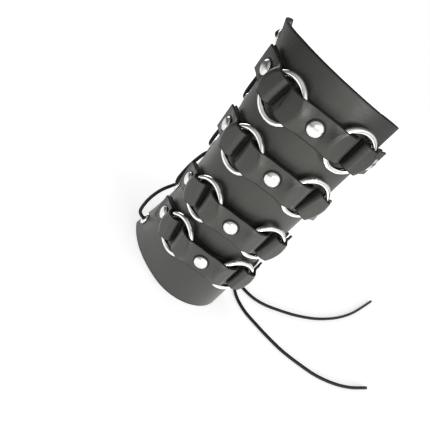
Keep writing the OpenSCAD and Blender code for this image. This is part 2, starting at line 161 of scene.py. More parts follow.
def mesh_piece(name: str, points: Array, faces: Sequence[Sequence[int]], attributes: dict[str, Array]) -> Obj:
    """Makes a smooth mesh object at the origin from points in millimetres.

    Args:
        name: Name of the piece.
        points: Vertices in millimetres.
        faces: Vertex numbers of each face.
        attributes: Values for each vertex, by the name that a material reads.

    Returns:
        The linked object.
    """
    mesh = bpy.data.meshes.new(name)
    mesh.from_pydata((points * MM).tolist(), [], [list(f) for f in faces])
    mesh.polygons.foreach_set("use_smooth", [True] * len(mesh.polygons))
    for key, values in attributes.items():
        mesh.attributes.new(key, "FLOAT", "POINT").data.foreach_set("value", np.asarray(values, np.float32))
    mesh.validate()
    mesh.update()
    piece = bpy.data.objects.new(name, mesh)
    bpy.context.scene.collection.objects.link(piece)
    return piece


@dataclass
class Tree:
    """A node tree that is built with short calls."""

    tree: bpy.types.NodeTree

    def feed(self, node: bpy.types.Node, inputs: Inputs) -> None:
        """Fills inputs of a node.

        Args:
            node: The node.
            inputs: Value of a socket, or an output to link into it, by the socket's name or number.
        """
        for key, value in inputs.items():
            if isinstance(value, Socket):
                self.tree.links.new(value, node.inputs[key])
            else:
                node.inputs[key].default_value = value

    def add(self, kind: str, inputs: Inputs | None = None, **settings: object) -> bpy.types.Node:
        """Adds a node.

        Args:
            kind: Blender's name of the node's type.
            inputs: What its inputs get, as in feed.
            settings: The node's own properties.

        Returns:
            The node.
        """
        made = self.tree.nodes.new(kind)
        for key, value in settings.items():
            setattr(made, key, value)
        self.feed(made, inputs or {})
        return made

    def math(self, operation: str, *values: object) -> Socket:
        """The result of a Math node on one, two or three values."""
        return self.add("ShaderNodeMath", dict(enumerate(values)), operation=operation).outputs[0]

    def vector(self, operation: str, output: str, *values: object) -> Socket:
        """One output of a Vector Math node on one or two values."""
        return self.add("ShaderNodeVectorMath", dict(enumerate(values)), operation=operation).outputs[output]

    def ramp(self, value: Socket, span: Pair, to: Pair) -> Socket:
        """Carries a value from one range into another, and keeps it there."""
        ends = {"From Min": span[0], "From Max": span[1], "To Min": to[0], "To Max": to[1]}
        return self.add("ShaderNodeMapRange", {"Value": value, **ends}).outputs["Result"]

    def noise(self, where: Socket, scale: float, detail: float, output: str = "Fac") -> Socket:
        """A noise texture at some coordinates."""
        inputs = {"Vector": where, "Scale": scale, "Detail": detail}
        return self.add("ShaderNodeTexNoise", inputs).outputs[output]

    def blend(self, factor: Socket, low: Socket | Triple, high: Triple) -> Socket:
        """A colour between two others, by a factor. The first may be a node's output."""
        first = low if isinstance(low, Socket) else (*low, 1.0)
        inputs = {"Factor": factor, "A": first, "B": (*high, 1.0)}
        return self.add("ShaderNodeMix", inputs, data_type="RGBA").outputs["Result"]

    def bump(self, height: Socket, strength: float, depth_m: float) -> Socket:
        """Normals that are tilted by a relief."""
        inputs = {"Height": height, "Strength": strength, "Distance": depth_m}
        return self.add("ShaderNodeBump", inputs).outputs["Normal"]


@dataclass(frozen=True)
class Finish:
    """What every finish shares: its name, and the making of its material."""

    name: str

    def look(self, tree: Tree) -> Inputs:
        """What the shader's inputs get, as in Tree.feed. Each kind of finish has its own."""
        raise NotImplementedError

    def build(self) -> Material:
        """Makes the material."""
        material = bpy.data.materials.new(self.name)
        material.use_nodes = True
        tree = Tree(material.node_tree)
        tree.feed(material.node_tree.nodes["Principled BSDF"], self.look(tree))
        return material


@dataclass(frozen=True)
class Leather(Finish):
    """Black leather with pebbled grain, soft mottling, dark fibrous cut edges, and painted shade beside the
    edges and round the rivet caps.

    The piece gives two vertex attributes: cut, which is 1 on a cut edge and less on the face beside it, where
    the dark is partly painted shade at the edge, and a second one, which is 1 in a ring just past each rivet
    cap and darkens the leather there as painted shade.
    """

    deep: Triple = (0.0050, 0.0052, 0.0047)
    pale: Triple = (0.0100, 0.0103, 0.0095)
    worn: Triple = (0.024, 0.024, 0.022)
    # Colour of the cut edges, which are this dark themselves, and of the painted shade beside them and round
    # the rivet caps
    edge: Triple = (0.0025, 0.0025, 0.0025)
    tint: Triple = (1.0, 1.0, 0.93)
    grain_m: float = 0.0011
    grain_warp: float = 0.6
    relief_m: float = 0.00006
    relief: float = 0.7
    gloss: float = 0.42
    gloss_range: Pair = (-0.04, 0.07)
    shine: float = 0.75
    sheen: float = 0.06
    sheen_gloss: float = 0.5
    # How dark the painted shade round the rivet caps is, as a share of the way to the edge colour
    press_dark: float = 0.85
    # How much rougher and less shiny the cut edges and the painted shade round the rivet caps are
    edge_dulling: float = 0.4
    edge_shine_loss: float = 0.85
    cloud_noise: Noise = (38.0, 4.0)
    cloud_span: Pair = (0.3, 0.7)
    fleck_noise: Noise = (900.0, 2.0)
    fleck_span: Pair = (0.52, 0.8)
    fleck_wear: float = 0.6
    warp_noise: Noise = (300.0, 1.0)
    fibre_noise: Noise = (2600.0, 3.0)
    fibre_height: float = 0.25
    cut_fibre_height: float = 2.5

    def look(self, tree: Tree) -> Inputs:
        """What the shader's inputs get."""
        where = tree.add("ShaderNodeTexCoord").outputs["Object"]
        cut, press = (tree.add("ShaderNodeAttribute", attribute_name=key).outputs["Fac"] for key in MARKS)
        # Dark of the cut edges, partly painted shade beside them, and painted shade in a ring round each
        # rivet cap
        dark = tree.math("MAXIMUM", cut, tree.math("MULTIPLY", press, self.press_dark))
        cloud = tree.noise(where, *self.cloud_noise)
        fleck = tree.noise(where, *self.fleck_noise)
        face = tree.blend(tree.ramp(cloud, self.cloud_span, (0.0, 1.0)), self.deep, self.pale)
        rubbed = tree.blend(tree.ramp(fleck, self.fleck_span, (0.0, self.fleck_wear)), face, self.worn)
        low, high = self.gloss_range
        rough = tree.ramp(cloud, self.cloud_span, (self.gloss + low, self.gloss + high))
        loss = -self.edge_shine_loss * self.shine
        return {
            "Base Color": tree.blend(dark, rubbed, self.edge),
            "Roughness": tree.math("ADD", rough, tree.math("MULTIPLY", dark, self.edge_dulling)),
            "Specular IOR Level": tree.math("MULTIPLY_ADD", dark, loss, self.shine),
            "Normal": tree.bump(self.grain(tree, where, cut), self.relief, self.relief_m),
            "Specular Tint": (*self.tint, 1.0),
            "Sheen Weight": self.sheen,
            "Sheen Roughness": self.sheen_gloss,
        }

    def grain(self, tree: Tree, where: Socket, cut: Socket) -> Socket:
        """Height of the relief: warped pebbles, fine fibre, and coarser fibre on the cut edges."""
        warped = tree.noise(where, *self.warp_noise, output="Color")
        shift = {0: warped, "Scale": self.grain_m * self.grain_warp}
        bent = tree.add("ShaderNodeVectorMath", shift, operation="SCALE").outputs["Vector"]
        moved = tree.vector("ADD", "Vector", where, bent)
        pebbles = {"Vector": moved, "Scale": 1.0 / self.grain_m}
        pebble = tree.add("ShaderNodeTexVoronoi", pebbles, feature="SMOOTH_F1").outputs["Distance"]
        fibre = tree.noise(where, *self.fibre_noise)
        fine = tree.math("MULTIPLY", fibre, self.fibre_height)
        plain = tree.math("ADD", tree.math("MULTIPLY", pebble, -1.0), fine)
        frayed = tree.math("MULTIPLY", tree.math("MULTIPLY", fibre, cut), self.cut_fibre_height)
        return tree.math("ADD", plain, frayed)


@dataclass(frozen=True)
class Plating(Finish):
    """Bright plated metal, with faint cloudiness and polishing marks."""

    colour: Triple = (0.90, 0.90, 0.89)
    dulling: float = 0.82
    gloss: float = 0.07
    haze: float = 0.07
    cloud_noise: Noise = (260.0, 3.0)
    dull_span: Pair = (0.35, 0.7)
    haze_span: Pair = (0.3, 0.7)
    dents_m: float = 0.00004
    dent_noise: Noise = (420.0, 1.0)
    dent_relief: float = 0.5

    def look(self, tree: Tree) -> Inputs:
        """What the shader's inputs get."""
        where = tree.add("ShaderNodeTexCoord").outputs["Object"]
        cloud = tree.noise(where, *self.cloud_noise)
        dull = tuple(self.dulling * c for c in self.colour)
        return {
            "Base Color": tree.blend(tree.ramp(cloud, self.dull_span, (0.0, 1.0)), self.colour, dull),
            "Roughness": tree.ramp(cloud, self.haze_span, (self.gloss, self.gloss + self.haze)),
            "Normal": tree.bump(tree.noise(where, *self.dent_noise), self.dent_relief, self.dents_m),
            "Metallic": 1.0,
        }


@dataclass(frozen=True)
class Lace(Finish):
    """Black round lace with a fine twist. Its piece has a UV map, round the lace and along it in metres."""

    deep: Triple = (0.004, 0.004, 0.004)
    pale: Triple = (0.011, 0.011, 0.0105)
    strands: int = 2
    twist_m: float = 0.0024
    relief_m: float = 0.00006
    relief: float = 0.5
    hair_noise: Noise = (900.0, 3.0)
    hair_height: float = 0.8
    gloss: float = 0.45
    shine: float = 0.22
    sheen: float = 0.03

    def look(self, tree: Tree) -> Inputs:
        """What the shader's inputs get."""
        uv = tree.add("ShaderNodeUVMap", uv_map="UVMap").outputs["UV"]
        parts = tree.add("ShaderNodeSeparateXYZ", {0: uv})
        turn = tree.math("MULTIPLY", parts.outputs["X"], 2.0 * math.pi * self.strands)
        along = tree.math("MULTIPLY", parts.outputs["Y"], 2.0 * math.pi / self.twist_m)
        strand = tree.math("SINE", tree.math("ADD", turn, along))
        hair = tree.noise(uv, *self.hair_noise)
        height = tree.math("ADD", strand, tree.math("MULTIPLY", hair, self.hair_height))
        return {
            "Base Color": tree.blend(hair, self.deep, self.pale),
            "Normal": tree.bump(height, self.relief, self.relief_m),
            "Roughness": self.gloss,
            "Specular IOR Level": self.shine,
            "Sheen Weight": self.sheen,
        }


@dataclass(frozen=True)
class Sleeve:
    """The panel's outer face: an arc in front and a flap on each side that turns at its own rate.

    All sizes are in millimetres, and z is the height above the wrist rim.
    """

    length: float = 205.0
    width: float = 172.0
    rim_skew: float = 5.7
    thickness: float = 3.0
    wrist_r: float = 36.4
    elbow_r: float = 52.0
    left_turns: Pair = (0.4, 1.54)
    right_turns: Pair = (1.12, 1.86)
    left_fronts: Pair = (29.0, 50.0)
    right_fronts: Pair = (50.0, 50.0)
    corner_flare: float = 7.5
    flare_up: float = 0.8
    flare_across: float = 0.5

    @property
    def front_mid(self) -> float:
        """Distance from the axis to the middle of the front wall at the wrist."""
        return self.wrist_r - self.thickness / 2

    @property
    def hollow_r(self) -> float:
        """Tightest radius of the hollow inner face."""
        wrist = self.wrist_r / max(1.0, self.right_turns[0])
        elbow = self.elbow_r / max(self.left_turns[1], self.right_turns[1])
        return min(wrist, elbow) - self.thickness

    def rim_z(self, s: Array | float) -> Array | float:
        """Height of the elbow rim, which is cut a little askew."""
        return self.length - self.rim_skew * s / (self.width / 2)

    def between_rims(self, z: Array, s: Array, left: Pair, right: Pair) -> Array:
        """A value that changes evenly from the wrist to the elbow, with its own two values on each side."""
        low = np.where(s < 0, left[0], right[0])
        return low + (np.where(s < 0, left[1], right[1]) - low) * z / self.length

    def front_r(self, z: Array | float) -> Array | float:
        """Radius of the arc in front."""
        return self.wrist_r + (self.elbow_r - self.wrist_r) * z / self.length

    def flap_turn(self, z: Array | float, s: Array | float) -> Array:
        """How many times as tightly as the arc in front the flap on one side bends."""
        return self.between_rims(z, s, self.left_turns, self.right_turns)

    def flare(self, z: Array, s: Array) -> Array:
        """How far the left back corner at the elbow has curled out."""
        up = np.maximum(0.0, (z / self.length - self.flare_up) / (1 - self.flare_up)) ** 2
        across = np.maximum(0.0, (-s / (self.width / 2) - self.flare_across) / (1 - self.flare_across))
        return self.corner_flare * up * across

    def at(self, z: Array | float, s: Array | float, h: Array | float = 0.0) -> Array:
        """Points on the face.

        Args:
            z: Heights.
            s: Distances along the face from the centre line.
            h: Heights above the face, outwards.

        Returns:
            Points, with the three coordinates on the last axis.
        """
        z, s, h = np.broadcast_arrays(np.asarray(z, float), np.asarray(s, float), np.asarray(h, float))
        r, turn = self.front_r(z), self.flap_turn(z, s)
        front = np.radians(self.between_rims(z, s, self.left_fronts, self.right_fronts))
        past = np.abs(s) - r * front
        a = np.where(past <= 0, np.abs(s) / r, front + past * turn / r)
        b = np.minimum(a, front)
        flap_r = r / turn
        u = r * np.sin(b) + flap_r * (np.sin(a) - np.sin(b))
        v = r * np.cos(b) + flap_r * (np.cos(a) - np.cos(b))
        lift = h + self.flare(z, s)
        x, y = np.sign(s) * (u + lift * np.sin(a)), self.front_mid - v - lift * np.cos(a)
        return np.stack([x, y, z], axis=-1)

    def axes(self, z: float, s: float) -> Array:
        """Origin, direction along the face, direction up the panel and direction outwards at a point."""
        along = unit(self.at(z, s + 0.5) - self.at(z, s - 0.5))
        out = unit(np.cross(along, self.at(z + 1, s) - self.at(z - 1, s)))
        return np.stack([self.at(z, s), along, np.cross(out, along), out])

    def turn_at(self, z: float, s: float) -> Triple:
        """Euler angles that turn +Z outwards and +X along the face."""
        _, along, up, out = self.axes(z, s)
        return tuple(Matrix(np.stack([along, up, out], axis=1).tolist()).to_euler())


@dataclass(frozen=True)
class Slab:
    """A sheet of leather with rounded cut edges, as one closed mesh."""

    thickness: float
    round_r: float
    round_steps: int = 3
    # Share of the cut edge's dark that the face beside it takes, as painted shade at the edge
    cut_fade: float = 0.6
    edge_match: float = 1e-6

    def border(self) -> tuple[Array, Array]:
        """Distances in from a cut edge, and how far each lies from the middle of the thickness."""
        angles = np.linspace(0, math.pi / 2, self.round_steps + 1)
        inset = np.concatenate([[0.0], self.round_r * (1 - np.cos(angles))])
        wall = self.thickness / 2 - self.round_r
        height = np.concatenate([[0.0], wall + self.round_r * np.sin(angles)])
        return inset, height

    def stations(self, length: float, count: int) -> tuple[Array, Array]:
        """Places across a sheet from one cut edge to the other.

        Args:
            length: Distance from edge to edge.
            count: Number of even steps between the two rounded borders.

        Returns:
            The distances from the first edge, and the half thickness at each.
        """
        inset, height = self.border()
        inner = np.linspace(inset[-1], length - inset[-1], count + 1)
        places = np.concatenate([inset, inner[1:-1], length - inset[::-1]])
        halves = np.concatenate([height, np.full(count - 1, self.thickness / 2), height[::-1]])
        return places, halves

    def build(
        self,
        name: str,
        middle: Array,
        out: Array,
        halves: tuple[Array, Array],
        hole: Array | None = None,
        press: Array | None = None,
    ) -> Obj:
        """Builds the mesh from its middle layer.

        Args:
            name: Name of the piece.
            middle: Grid of points, rows by columns by three.
            out: Directions out of the sheet at the same places.
            halves: Half thicknesses at the rows and at the columns.
            hole: True for each cell of the grid that a hole takes away.
            press: Painted shade in a ring round the rivet caps on the front at the same places, from 0 to 1.

        Returns:
            The piece.
        """
        rows, cols = middle.shape[:2]
        half = np.minimum(halves[0][:, None], halves[1][None, :])
        front, back = middle + out * half[..., None], middle - out * half[..., None]
        number = np.arange(rows * cols).reshape(rows, cols)
        keep = np.ones((rows - 1, cols - 1), bool) if hole is None else ~hole
        cells = [self.corners(number, i, j) for i, j in zip(*np.nonzero(keep))]
        size = rows * cols
        faces = cells + [tuple(k + size for k in reversed(cell)) for cell in cells]
        faces += self.hole_walls(number, keep, size)
        edge = half < self.thickness / 2 - self.edge_match
        near = np.pad(edge, 1)
        near = near[:-2, 1:-1] | near[2:, 1:-1] | near[1:-1, :-2] | near[1:-1, 2:]
        # Cut edges are dark themselves; the dark on the face beside them is painted shade at the edge
        cut = np.maximum(edge, self.cut_fade * near).ravel()
        # Painted shade in a ring round each rivet cap, on the front only
        rivet_shaded = np.zeros(size) if press is None else press.ravel()
        values = dict(zip(MARKS, (np.tile(cut, 2), np.concatenate([rivet_shaded, np.zeros(size)]))))
        return weld(mesh_piece(name, np.concatenate([front, back]).reshape(-1, 3), faces, values))

    @staticmethod
    def corners(number: Array, i: int, j: int) -> Face:
        """Numbers of the four corners of one cell of the grid."""
        return number[i, j], number[i + 1, j], number[i + 1, j + 1], number[i, j + 1]

    def hole_walls(self, number: Array, keep: Array, size: int) -> list[Face]:
        """Walls of the holes, between the front's and the back's edges of the cells that are gone."""
        walls = []
        for i, j in zip(*np.nonzero(~keep)):
            corner = self.corners(number, i, j)
            for row, col, a, b in ((i, j - 1, 0, 1), (i + 1, j, 1, 2), (i, j + 1, 2, 3), (i - 1, j, 3, 0)):
                if keep[row, col]:
                    walls.append((corner[a], corner[b], corner[b] + size, corner[a] + size))
        return walls


def weld(piece: Obj) -> Obj:
    """Merges the doubled vertices of a closed mesh, points its faces outwards and gives it back."""
    shell = bmesh.new()
    shell.from_mesh(piece.data)
    bmesh.ops.remove_doubles(shell, verts=shell.verts, dist=WELD_M)
    bmesh.ops.recalc_face_normals(shell, faces=shell.faces)
    shell.to_mesh(piece.data)
    shell.free()
    piece.data.update()
    return piece


@dataclass(frozen=True)
class Bands:
    """Places and sizes that the four bands of straps share, in millimetres."""

    sleeve: Sleeve
    count: int = 4
    first_z: float = 49.0
    pitch: float = 42.3
    shift: tuple[float, ...] = (0.0, 0.8, -3.6, 0.0)
    left_lean: tuple[float, ...] = (15.5, 5.5, -8.0, -5.0)
    right_lean: tuple[float, ...] = (-3.0, -16.5, -10.0, -6.5)
    ring_arc: float = 25.1
    end_reach: float = 24.0
    strap_w: float = 20.0
    strap_t: float = 1.8
    tab_len: float = 9.5
    tab_step: float = 1.5
    under_lap: float = 5.5
    nose_gap: float = 3.5
    nose_shift: float = 1.3
    centre_nose_len: float = 6.0
    end_nose_len: float = 3.2
    nose_dip: float = 0.35
    nose_bend: float = 1.3
    centre_lift: float = 1.0
    end_lift: float = 1.0
    tab_rise: float = 1.6
    cap_rise: float = 0.125
    ring_r: float = 15.0
    wire_r: float = 2.0
    cap_r: float = 5.2
    ring_gap: float = 0.45
    cap_space: float = 0.5
    seat_gap: float = 0.15

    def z(self, i: int) -> float:
        """Height of a band, where band 1 is at the elbow."""
        return self.first_z + (self.count - i) * self.pitch + self.shift[i - 1]

    def lean(self, i: int, side: int) -> float:
        """Angle by which an end strap is turned up about its ring, in radians."""
        return math.radians((self.left_lean if side < 0 else self.right_lean)[i - 1])

    def end_rivet(self, i: int, side: int) -> Pair:
        """Height and distance along the face of an end rivet."""
        lean, reach = self.lean(i, side), self.end_reach
        return self.z(i) + reach * math.sin(lean), side * (self.ring_arc + reach * math.cos(lean))

    @property
    def layers(self) -> Pair:
        """Heights of the middles of the two lowest layers of strap."""
        first = self.seat_gap + self.strap_t / 2
        return first, first + self.strap_t + self.seat_gap

    @property
    def centre_top(self) -> float:
        """Height of the middle of a centre strap's top layer at its rivet."""
        return self.layers[1] + self.strap_t + self.seat_gap + self.centre_lift

    @property
    def end_top(self) -> float:
        """Height of the middle of an end strap's top layer at its rivet."""
        return self.layers[1] + self.end_lift

    @property
    def edge_chord(self) -> float:
        """Distance from a ring's middle to its wire, at the strap's edges."""
        return math.sqrt(self.ring_r**2 - (self.strap_w / 2) ** 2)

    @property
    def flattest_r(self) -> float:
        """Radius of the face where it is flattest under a ring."""
        left_flap = self.sleeve.front_r(self.first_z) / self.sleeve.flap_turn(self.first_z, Side.LEFT)
        return float(max(self.sleeve.elbow_r, left_flap))

    @property
    def ring_h(self) -> float:
        """Height of a ring's middle above the face, clear of the layer of strap under it."""
        most = math.radians(max(abs(a) for a in (*self.left_lean, *self.right_lean)))
        low_chord = self.ring_r * math.cos(math.asin(self.strap_w / 2 / self.ring_r) + most)
        dip = low_chord**2 / (2 * self.flattest_r)
        return self.seat_gap + self.strap_t + self.ring_gap + self.wire_r - dip

    @property
    def wrap_r(self) -> float:
        """Distance from the wire's middle to the middle of the strap that wraps it."""
        return self.wire_r + self.ring_gap + self.strap_t / 2

    def nose_tip(self, way: int) -> float:
        """Distance from a ring's middle to the nose of a strap, at the middle of its thickness.

        Args:
            way: 1 for an end strap and -1 for a centre strap.

        Returns:
            The distance.
        """
        return self.nose_gap / 2 + way * self.nose_shift + self.strap_t / 2


@dataclass(frozen=True)
class Straps:
    """Builds the straps of the bands, which are folded round the rings."""

    sleeve: Sleeve
    bands: Bands
    slab: Slab
    across: int = 36
    step: float = 0.5
    stations: int = 7
    crease_run: Pair = (1.2, 0.4)
    crease_share: float = 0.03
    nose_steps: int = 8
    foot_steps: int = 4
    wrap_steps: int = 8
    lying_points: int = 5
    under_points: int = 7
    smooth_steps: int = 3
    dent: float = 0.3
    dent_w: float = 1.3
    # Gap past the rivet cap's edge and width of the ring of painted shade round it
    mark_gap: float = 0.35
    mark_w: float = 0.55

    def leaned(self, z: float, side: int, lean: float, p: float, w: float, h: float) -> Array:
        """A point on a strap that is turned up about its ring.

        Args:
            z: Height of the band.
            side: Side of the ring.
            lean: Angle of the turn.
            p: Distance outwards from the ring's middle.
            w: Distance across the strap from its middle.
            h: Height above the face.

        Returns:
            The point.
        """
        up, out = math.sin(lean), math.cos(lean)
        return self.sleeve.at(z + w * out + p * up, side * (self.bands.ring_arc + p * out - w * up), h)

    def nose(self, way: int, low: float) -> list[Pair]:
        """Side view of a nose, from its crease down and round its foot.

        Args:
            way: 1 for an end strap and -1 for a centre strap.
            low: Height of the layer under it, above the wire's middle.

        Returns:
            Distances from the ring's middle, and heights above the wire's middle.
        """
        b, tip = self.bands, self.bands.nose_tip(way)
        crease, foot = tip + (b.end_nose_len if way > 0 else b.centre_nose_len), low + b.nose_bend
        corner = b.wrap_r - b.nose_dip * (b.wrap_r - foot)
        side = [(crease + run, b.wrap_r) for run in self.crease_run]
        for t in np.linspace(self.crease_share, 1, self.nose_steps + 1):
            start, middle, end = (1 - t) ** 2, 2 * t * (1 - t), t * t
            height = b.wrap_r * start + corner * middle + foot * end
            side.append((crease * start + tip * (middle + end), height))
        for a in np.linspace(math.pi / 2, math.pi, self.foot_steps + 1)[1:]:
            side.append((tip + b.nose_bend * (1 - math.sin(a)), foot + b.nose_bend * math.cos(a)))
        return side

    def fold(
        self, z: float, side: int, way: int, lean: float, w: float, reach: float, h_flat: float
    ) -> list[Array]:
        """One edgewise line of a strap from its top layer over the wire and back under it.

        Args:
            z: Height of the band.
            side: Side of the ring.
            way: 1 for an end strap and -1 for a centre strap.
            lean: Angle by which the strap is turned up about the ring.
            w: Distance across the strap from its middle.
            reach: Distance from the ring's middle where the strap leaves its rivet.
            h_flat: Height there.

        Returns:
            Points of the line.
        """
        b = self.bands
        origin, along, up, out = self.sleeve.axes(z, side * b.ring_arc)
        outward = side * along * math.cos(lean) + up * math.sin(lean)
        across = up * math.cos(lean) - side * along * math.sin(lean)
        o = origin + out * b.ring_h + across * w
        start = self.leaned(z, side, lean, way * reach, w, h_flat) - o
        wire_p = math.sqrt(b.ring_r**2 - w**2)
        bulge = (b.strap_w / (self.stations - 1)) ** 2 / (8 * b.edge_chord) * b.ring_r / b.edge_chord
        wrap_p = b.wrap_r + b.wire_r * (b.ring_r / wire_p - 1) + bulge
        run = (abs(start @ outward) - wire_p) * b.wrap_r / wrap_p
        drop = -(start @ out)
        wrap = math.asin(b.wrap_r / math.hypot(run, drop)) + math.atan2(drop, run)
        under = self.leaned(z, side, lean, way * (b.nose_tip(way) + b.nose_bend), w, b.layers[0])
        angles = math.pi / 2 - wrap * np.linspace(1, 0, self.wrap_steps + 1)
        round_wire = [(wire_p + wrap_p * math.cos(a), b.wrap_r * math.sin(a)) for a in angles]
        profile = round_wire + self.nose(way, (under - o) @ out)
        return [o + way * outward * p + out * h for p, h in profile]

    def lying(self, z: float, start: float, end: float, h: float) -> list[Array]:
        """Points spread along the face between two distances, at one height."""
        return [self.sleeve.at(z, s, h) for s in np.linspace(start, end, self.lying_points)]

    def centre_half(self, z: float, side: int, w: float, under_h: float) -> list[Array]:
        """Half of a centre strap's line, from its rivet round the ring and back underneath."""
        b = self.bands
        flat, nose = b.cap_r + b.cap_space, b.ring_arc - b.nose_tip(-1) - b.nose_bend
        return [
            self.sleeve.at(z + w, side * flat / 2, b.centre_top),
            self.sleeve.at(z + w, side * flat, b.centre_top),
            *self.fold(z, side, -1, 0.0, w, b.ring_arc - flat, b.centre_top),
            *self.lying(z + w, side * nose, side * (b.ring_arc - b.ring_r), b.layers[0]),
            *self.lying(z + w, side * (b.cap_r + 2 * b.cap_space), -side * b.under_lap, under_h),
        ]

    def centre_line(self, z: float, w: float) -> list[Array]:
        """The whole line of a centre strap at one distance across it."""
        low, high = self.bands.layers
        left, right = self.centre_half(z, Side.LEFT, w, low), self.centre_half(z, Side.RIGHT, w, high)
        return [*reversed(left), self.sleeve.at(z + w, 0.0, self.bands.centre_top), *right]

    def end_line(self, i: int, side: int, w: float) -> list[Array]:
        """The whole line of an end strap, from its free tab round the ring and back."""
        b, z, lean = self.bands, self.bands.z(i), self.bands.lean(i, side)
        reach, low = b.end_reach, b.layers[0]
        flat, tab = reach - b.cap_r - b.cap_space, reach + b.tab_len
        top = [
            (tab, b.end_top + b.tab_rise), (reach + b.cap_r, b.end_top + b.tab_rise * b.cap_rise),
            (reach, b.end_top), (flat, b.end_top),
        ]
        under = [(p, low) for p in np.linspace(b.nose_tip(1) + b.nose_bend, reach, self.under_points)]
        under += [(reach + b.cap_r, low + b.tab_rise * b.cap_rise), (tab + b.tab_step, low + b.tab_rise)]
        return [
            *(self.leaned(z, side, lean, p, w, h) for p, h in top),
            *self.fold(z, side, 1, lean, w, flat, b.end_top),
            *(self.leaned(z, side, lean, p, w, h) for p, h in under),
        ]

    def piece(self, name: str, line: Callable[[float], list[Array]], rivet: Array) -> Obj:
        """Builds one strap.

        Args:
            name: Name of the piece.
            line: Gives the strap's line at a distance across it.
            rivet: Middle of the top layer at its rivet.

        Returns:
            The piece.
        """
        w_places, w_halves = self.slab.stations(self.bands.strap_w, self.across)
        middle_w = self.bands.strap_w / 2
        lines = [smooth_route(np.array(line(w - middle_w)), self.smooth_steps) for w in w_places]
        length = float(np.mean([run_along(p)[-1] for p in lines]))
        u_places, u_halves = self.slab.stations(length, round(length / self.step))
        middle = np.stack([resample(p, u_places / length) for p in lines], axis=1)
        # The first and last lines are doubled, so out is zero there, where the half thickness is zero too.
        out = unit(np.cross(np.gradient(middle, axis=0), np.gradient(middle, axis=1)))
        past_cap = np.linalg.norm(middle - rivet, axis=-1) - self.bands.cap_r
        # A ring of painted shade just past the rivet cap's edge; the dent below is real shape
        press = np.exp(-(((past_cap - self.mark_gap) / self.mark_w) ** 2))
        middle = middle - out * (self.dent * np.exp(-((past_cap / self.dent_w) ** 2)))[..., None]
        return self.slab.build(name, middle, out, (u_halves, w_halves), press=press)

    def build_all(self, leather: Material) -> None:
        """Builds and dresses every strap."""
        for i in range(1, self.bands.count + 1):
            z = self.bands.z(i)
            cap = self.sleeve.at(z, 0.0, self.bands.centre_top)
            skin = self.piece(f"centre_strap_skin_{i}", lambda w: self.centre_line(z, w), cap)
            dress(skin, leather, Slot.STRAP, [f"centre_strap_{i}"])
            for side in Side:
                cap = self.sleeve.at(*self.bands.end_rivet(i, side), self.bands.end_top)
                skin = self.piece(f"{side.word}_end_strap_skin_{i}", lambda w: self.end_line(i, side, w), cap)
                dress(skin, leather, Slot.STRAP, [f"{side.word}_end_strap_{i}"])


def dress(piece: Obj, material: Material, slot: Slot, nodes: Sequence[str], body: str = "gauntlet") -> Obj:
    """Gives a piece its material, the body it rides on and the nodes that it stands for.

    Args:
        piece: The piece.
        material: Its material.
        slot: The record's material slot; not used.
        nodes: CAD nodes that it replaces.
        body: Body that it rides on.

    Returns:
        The piece.
    """
    piece.data.materials.clear()
    piece.data.materials.append(material)
    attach(piece, body)
    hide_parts(*nodes)
    log.info("%s: %d faces", piece.name, len(piece.data.polygons))
    return piece


@dataclass(frozen=True)
class EyeletRows:
    """Places of the eyelets along the seam edges, and their sizes, in millimetres."""

    sleeve: Sleeve
    count: int = 5
    margin: float = 13.0
    inset: float = 8.0
    outer_r: float = 5.5
    bore_r: float = 2.8
    wall: float = 0.6
    rim_h: float = 1.6
    edge_h: float = 0.3
    flange_t: float = 0.8
    seat_gap: float = 0.15

    def z(self, k: int, side: int) -> float:
        """Height of an eyelet, where 1 is at the wrist."""
        top = self.sleeve.rim_z(side * self.arc) - self.margin
        return self.margin + (top - self.margin) * (k - 1) / (self.count - 1)

    @property
    def arc(self) -> float:
        """Distance of the eyelets from the centre line, along the face."""
        return self.sleeve.width / 2 - self.inset

    @property
    def seat(self) -> float:
        """Height of the upper side of the flange inside the panel."""
        dip = (self.outer_r - self.wall) ** 2 / (2 * self.sleeve.hollow_r)
        return -self.sleeve.thickness - self.seat_gap - dip

    def places(self, *sides: Side) -> list[Pair]:
        """Heights and distances along the face of the eyelets on some sides."""
        return [(self.z(k, side), side * self.arc) for k in range(1, self.count + 1) for side in sides]


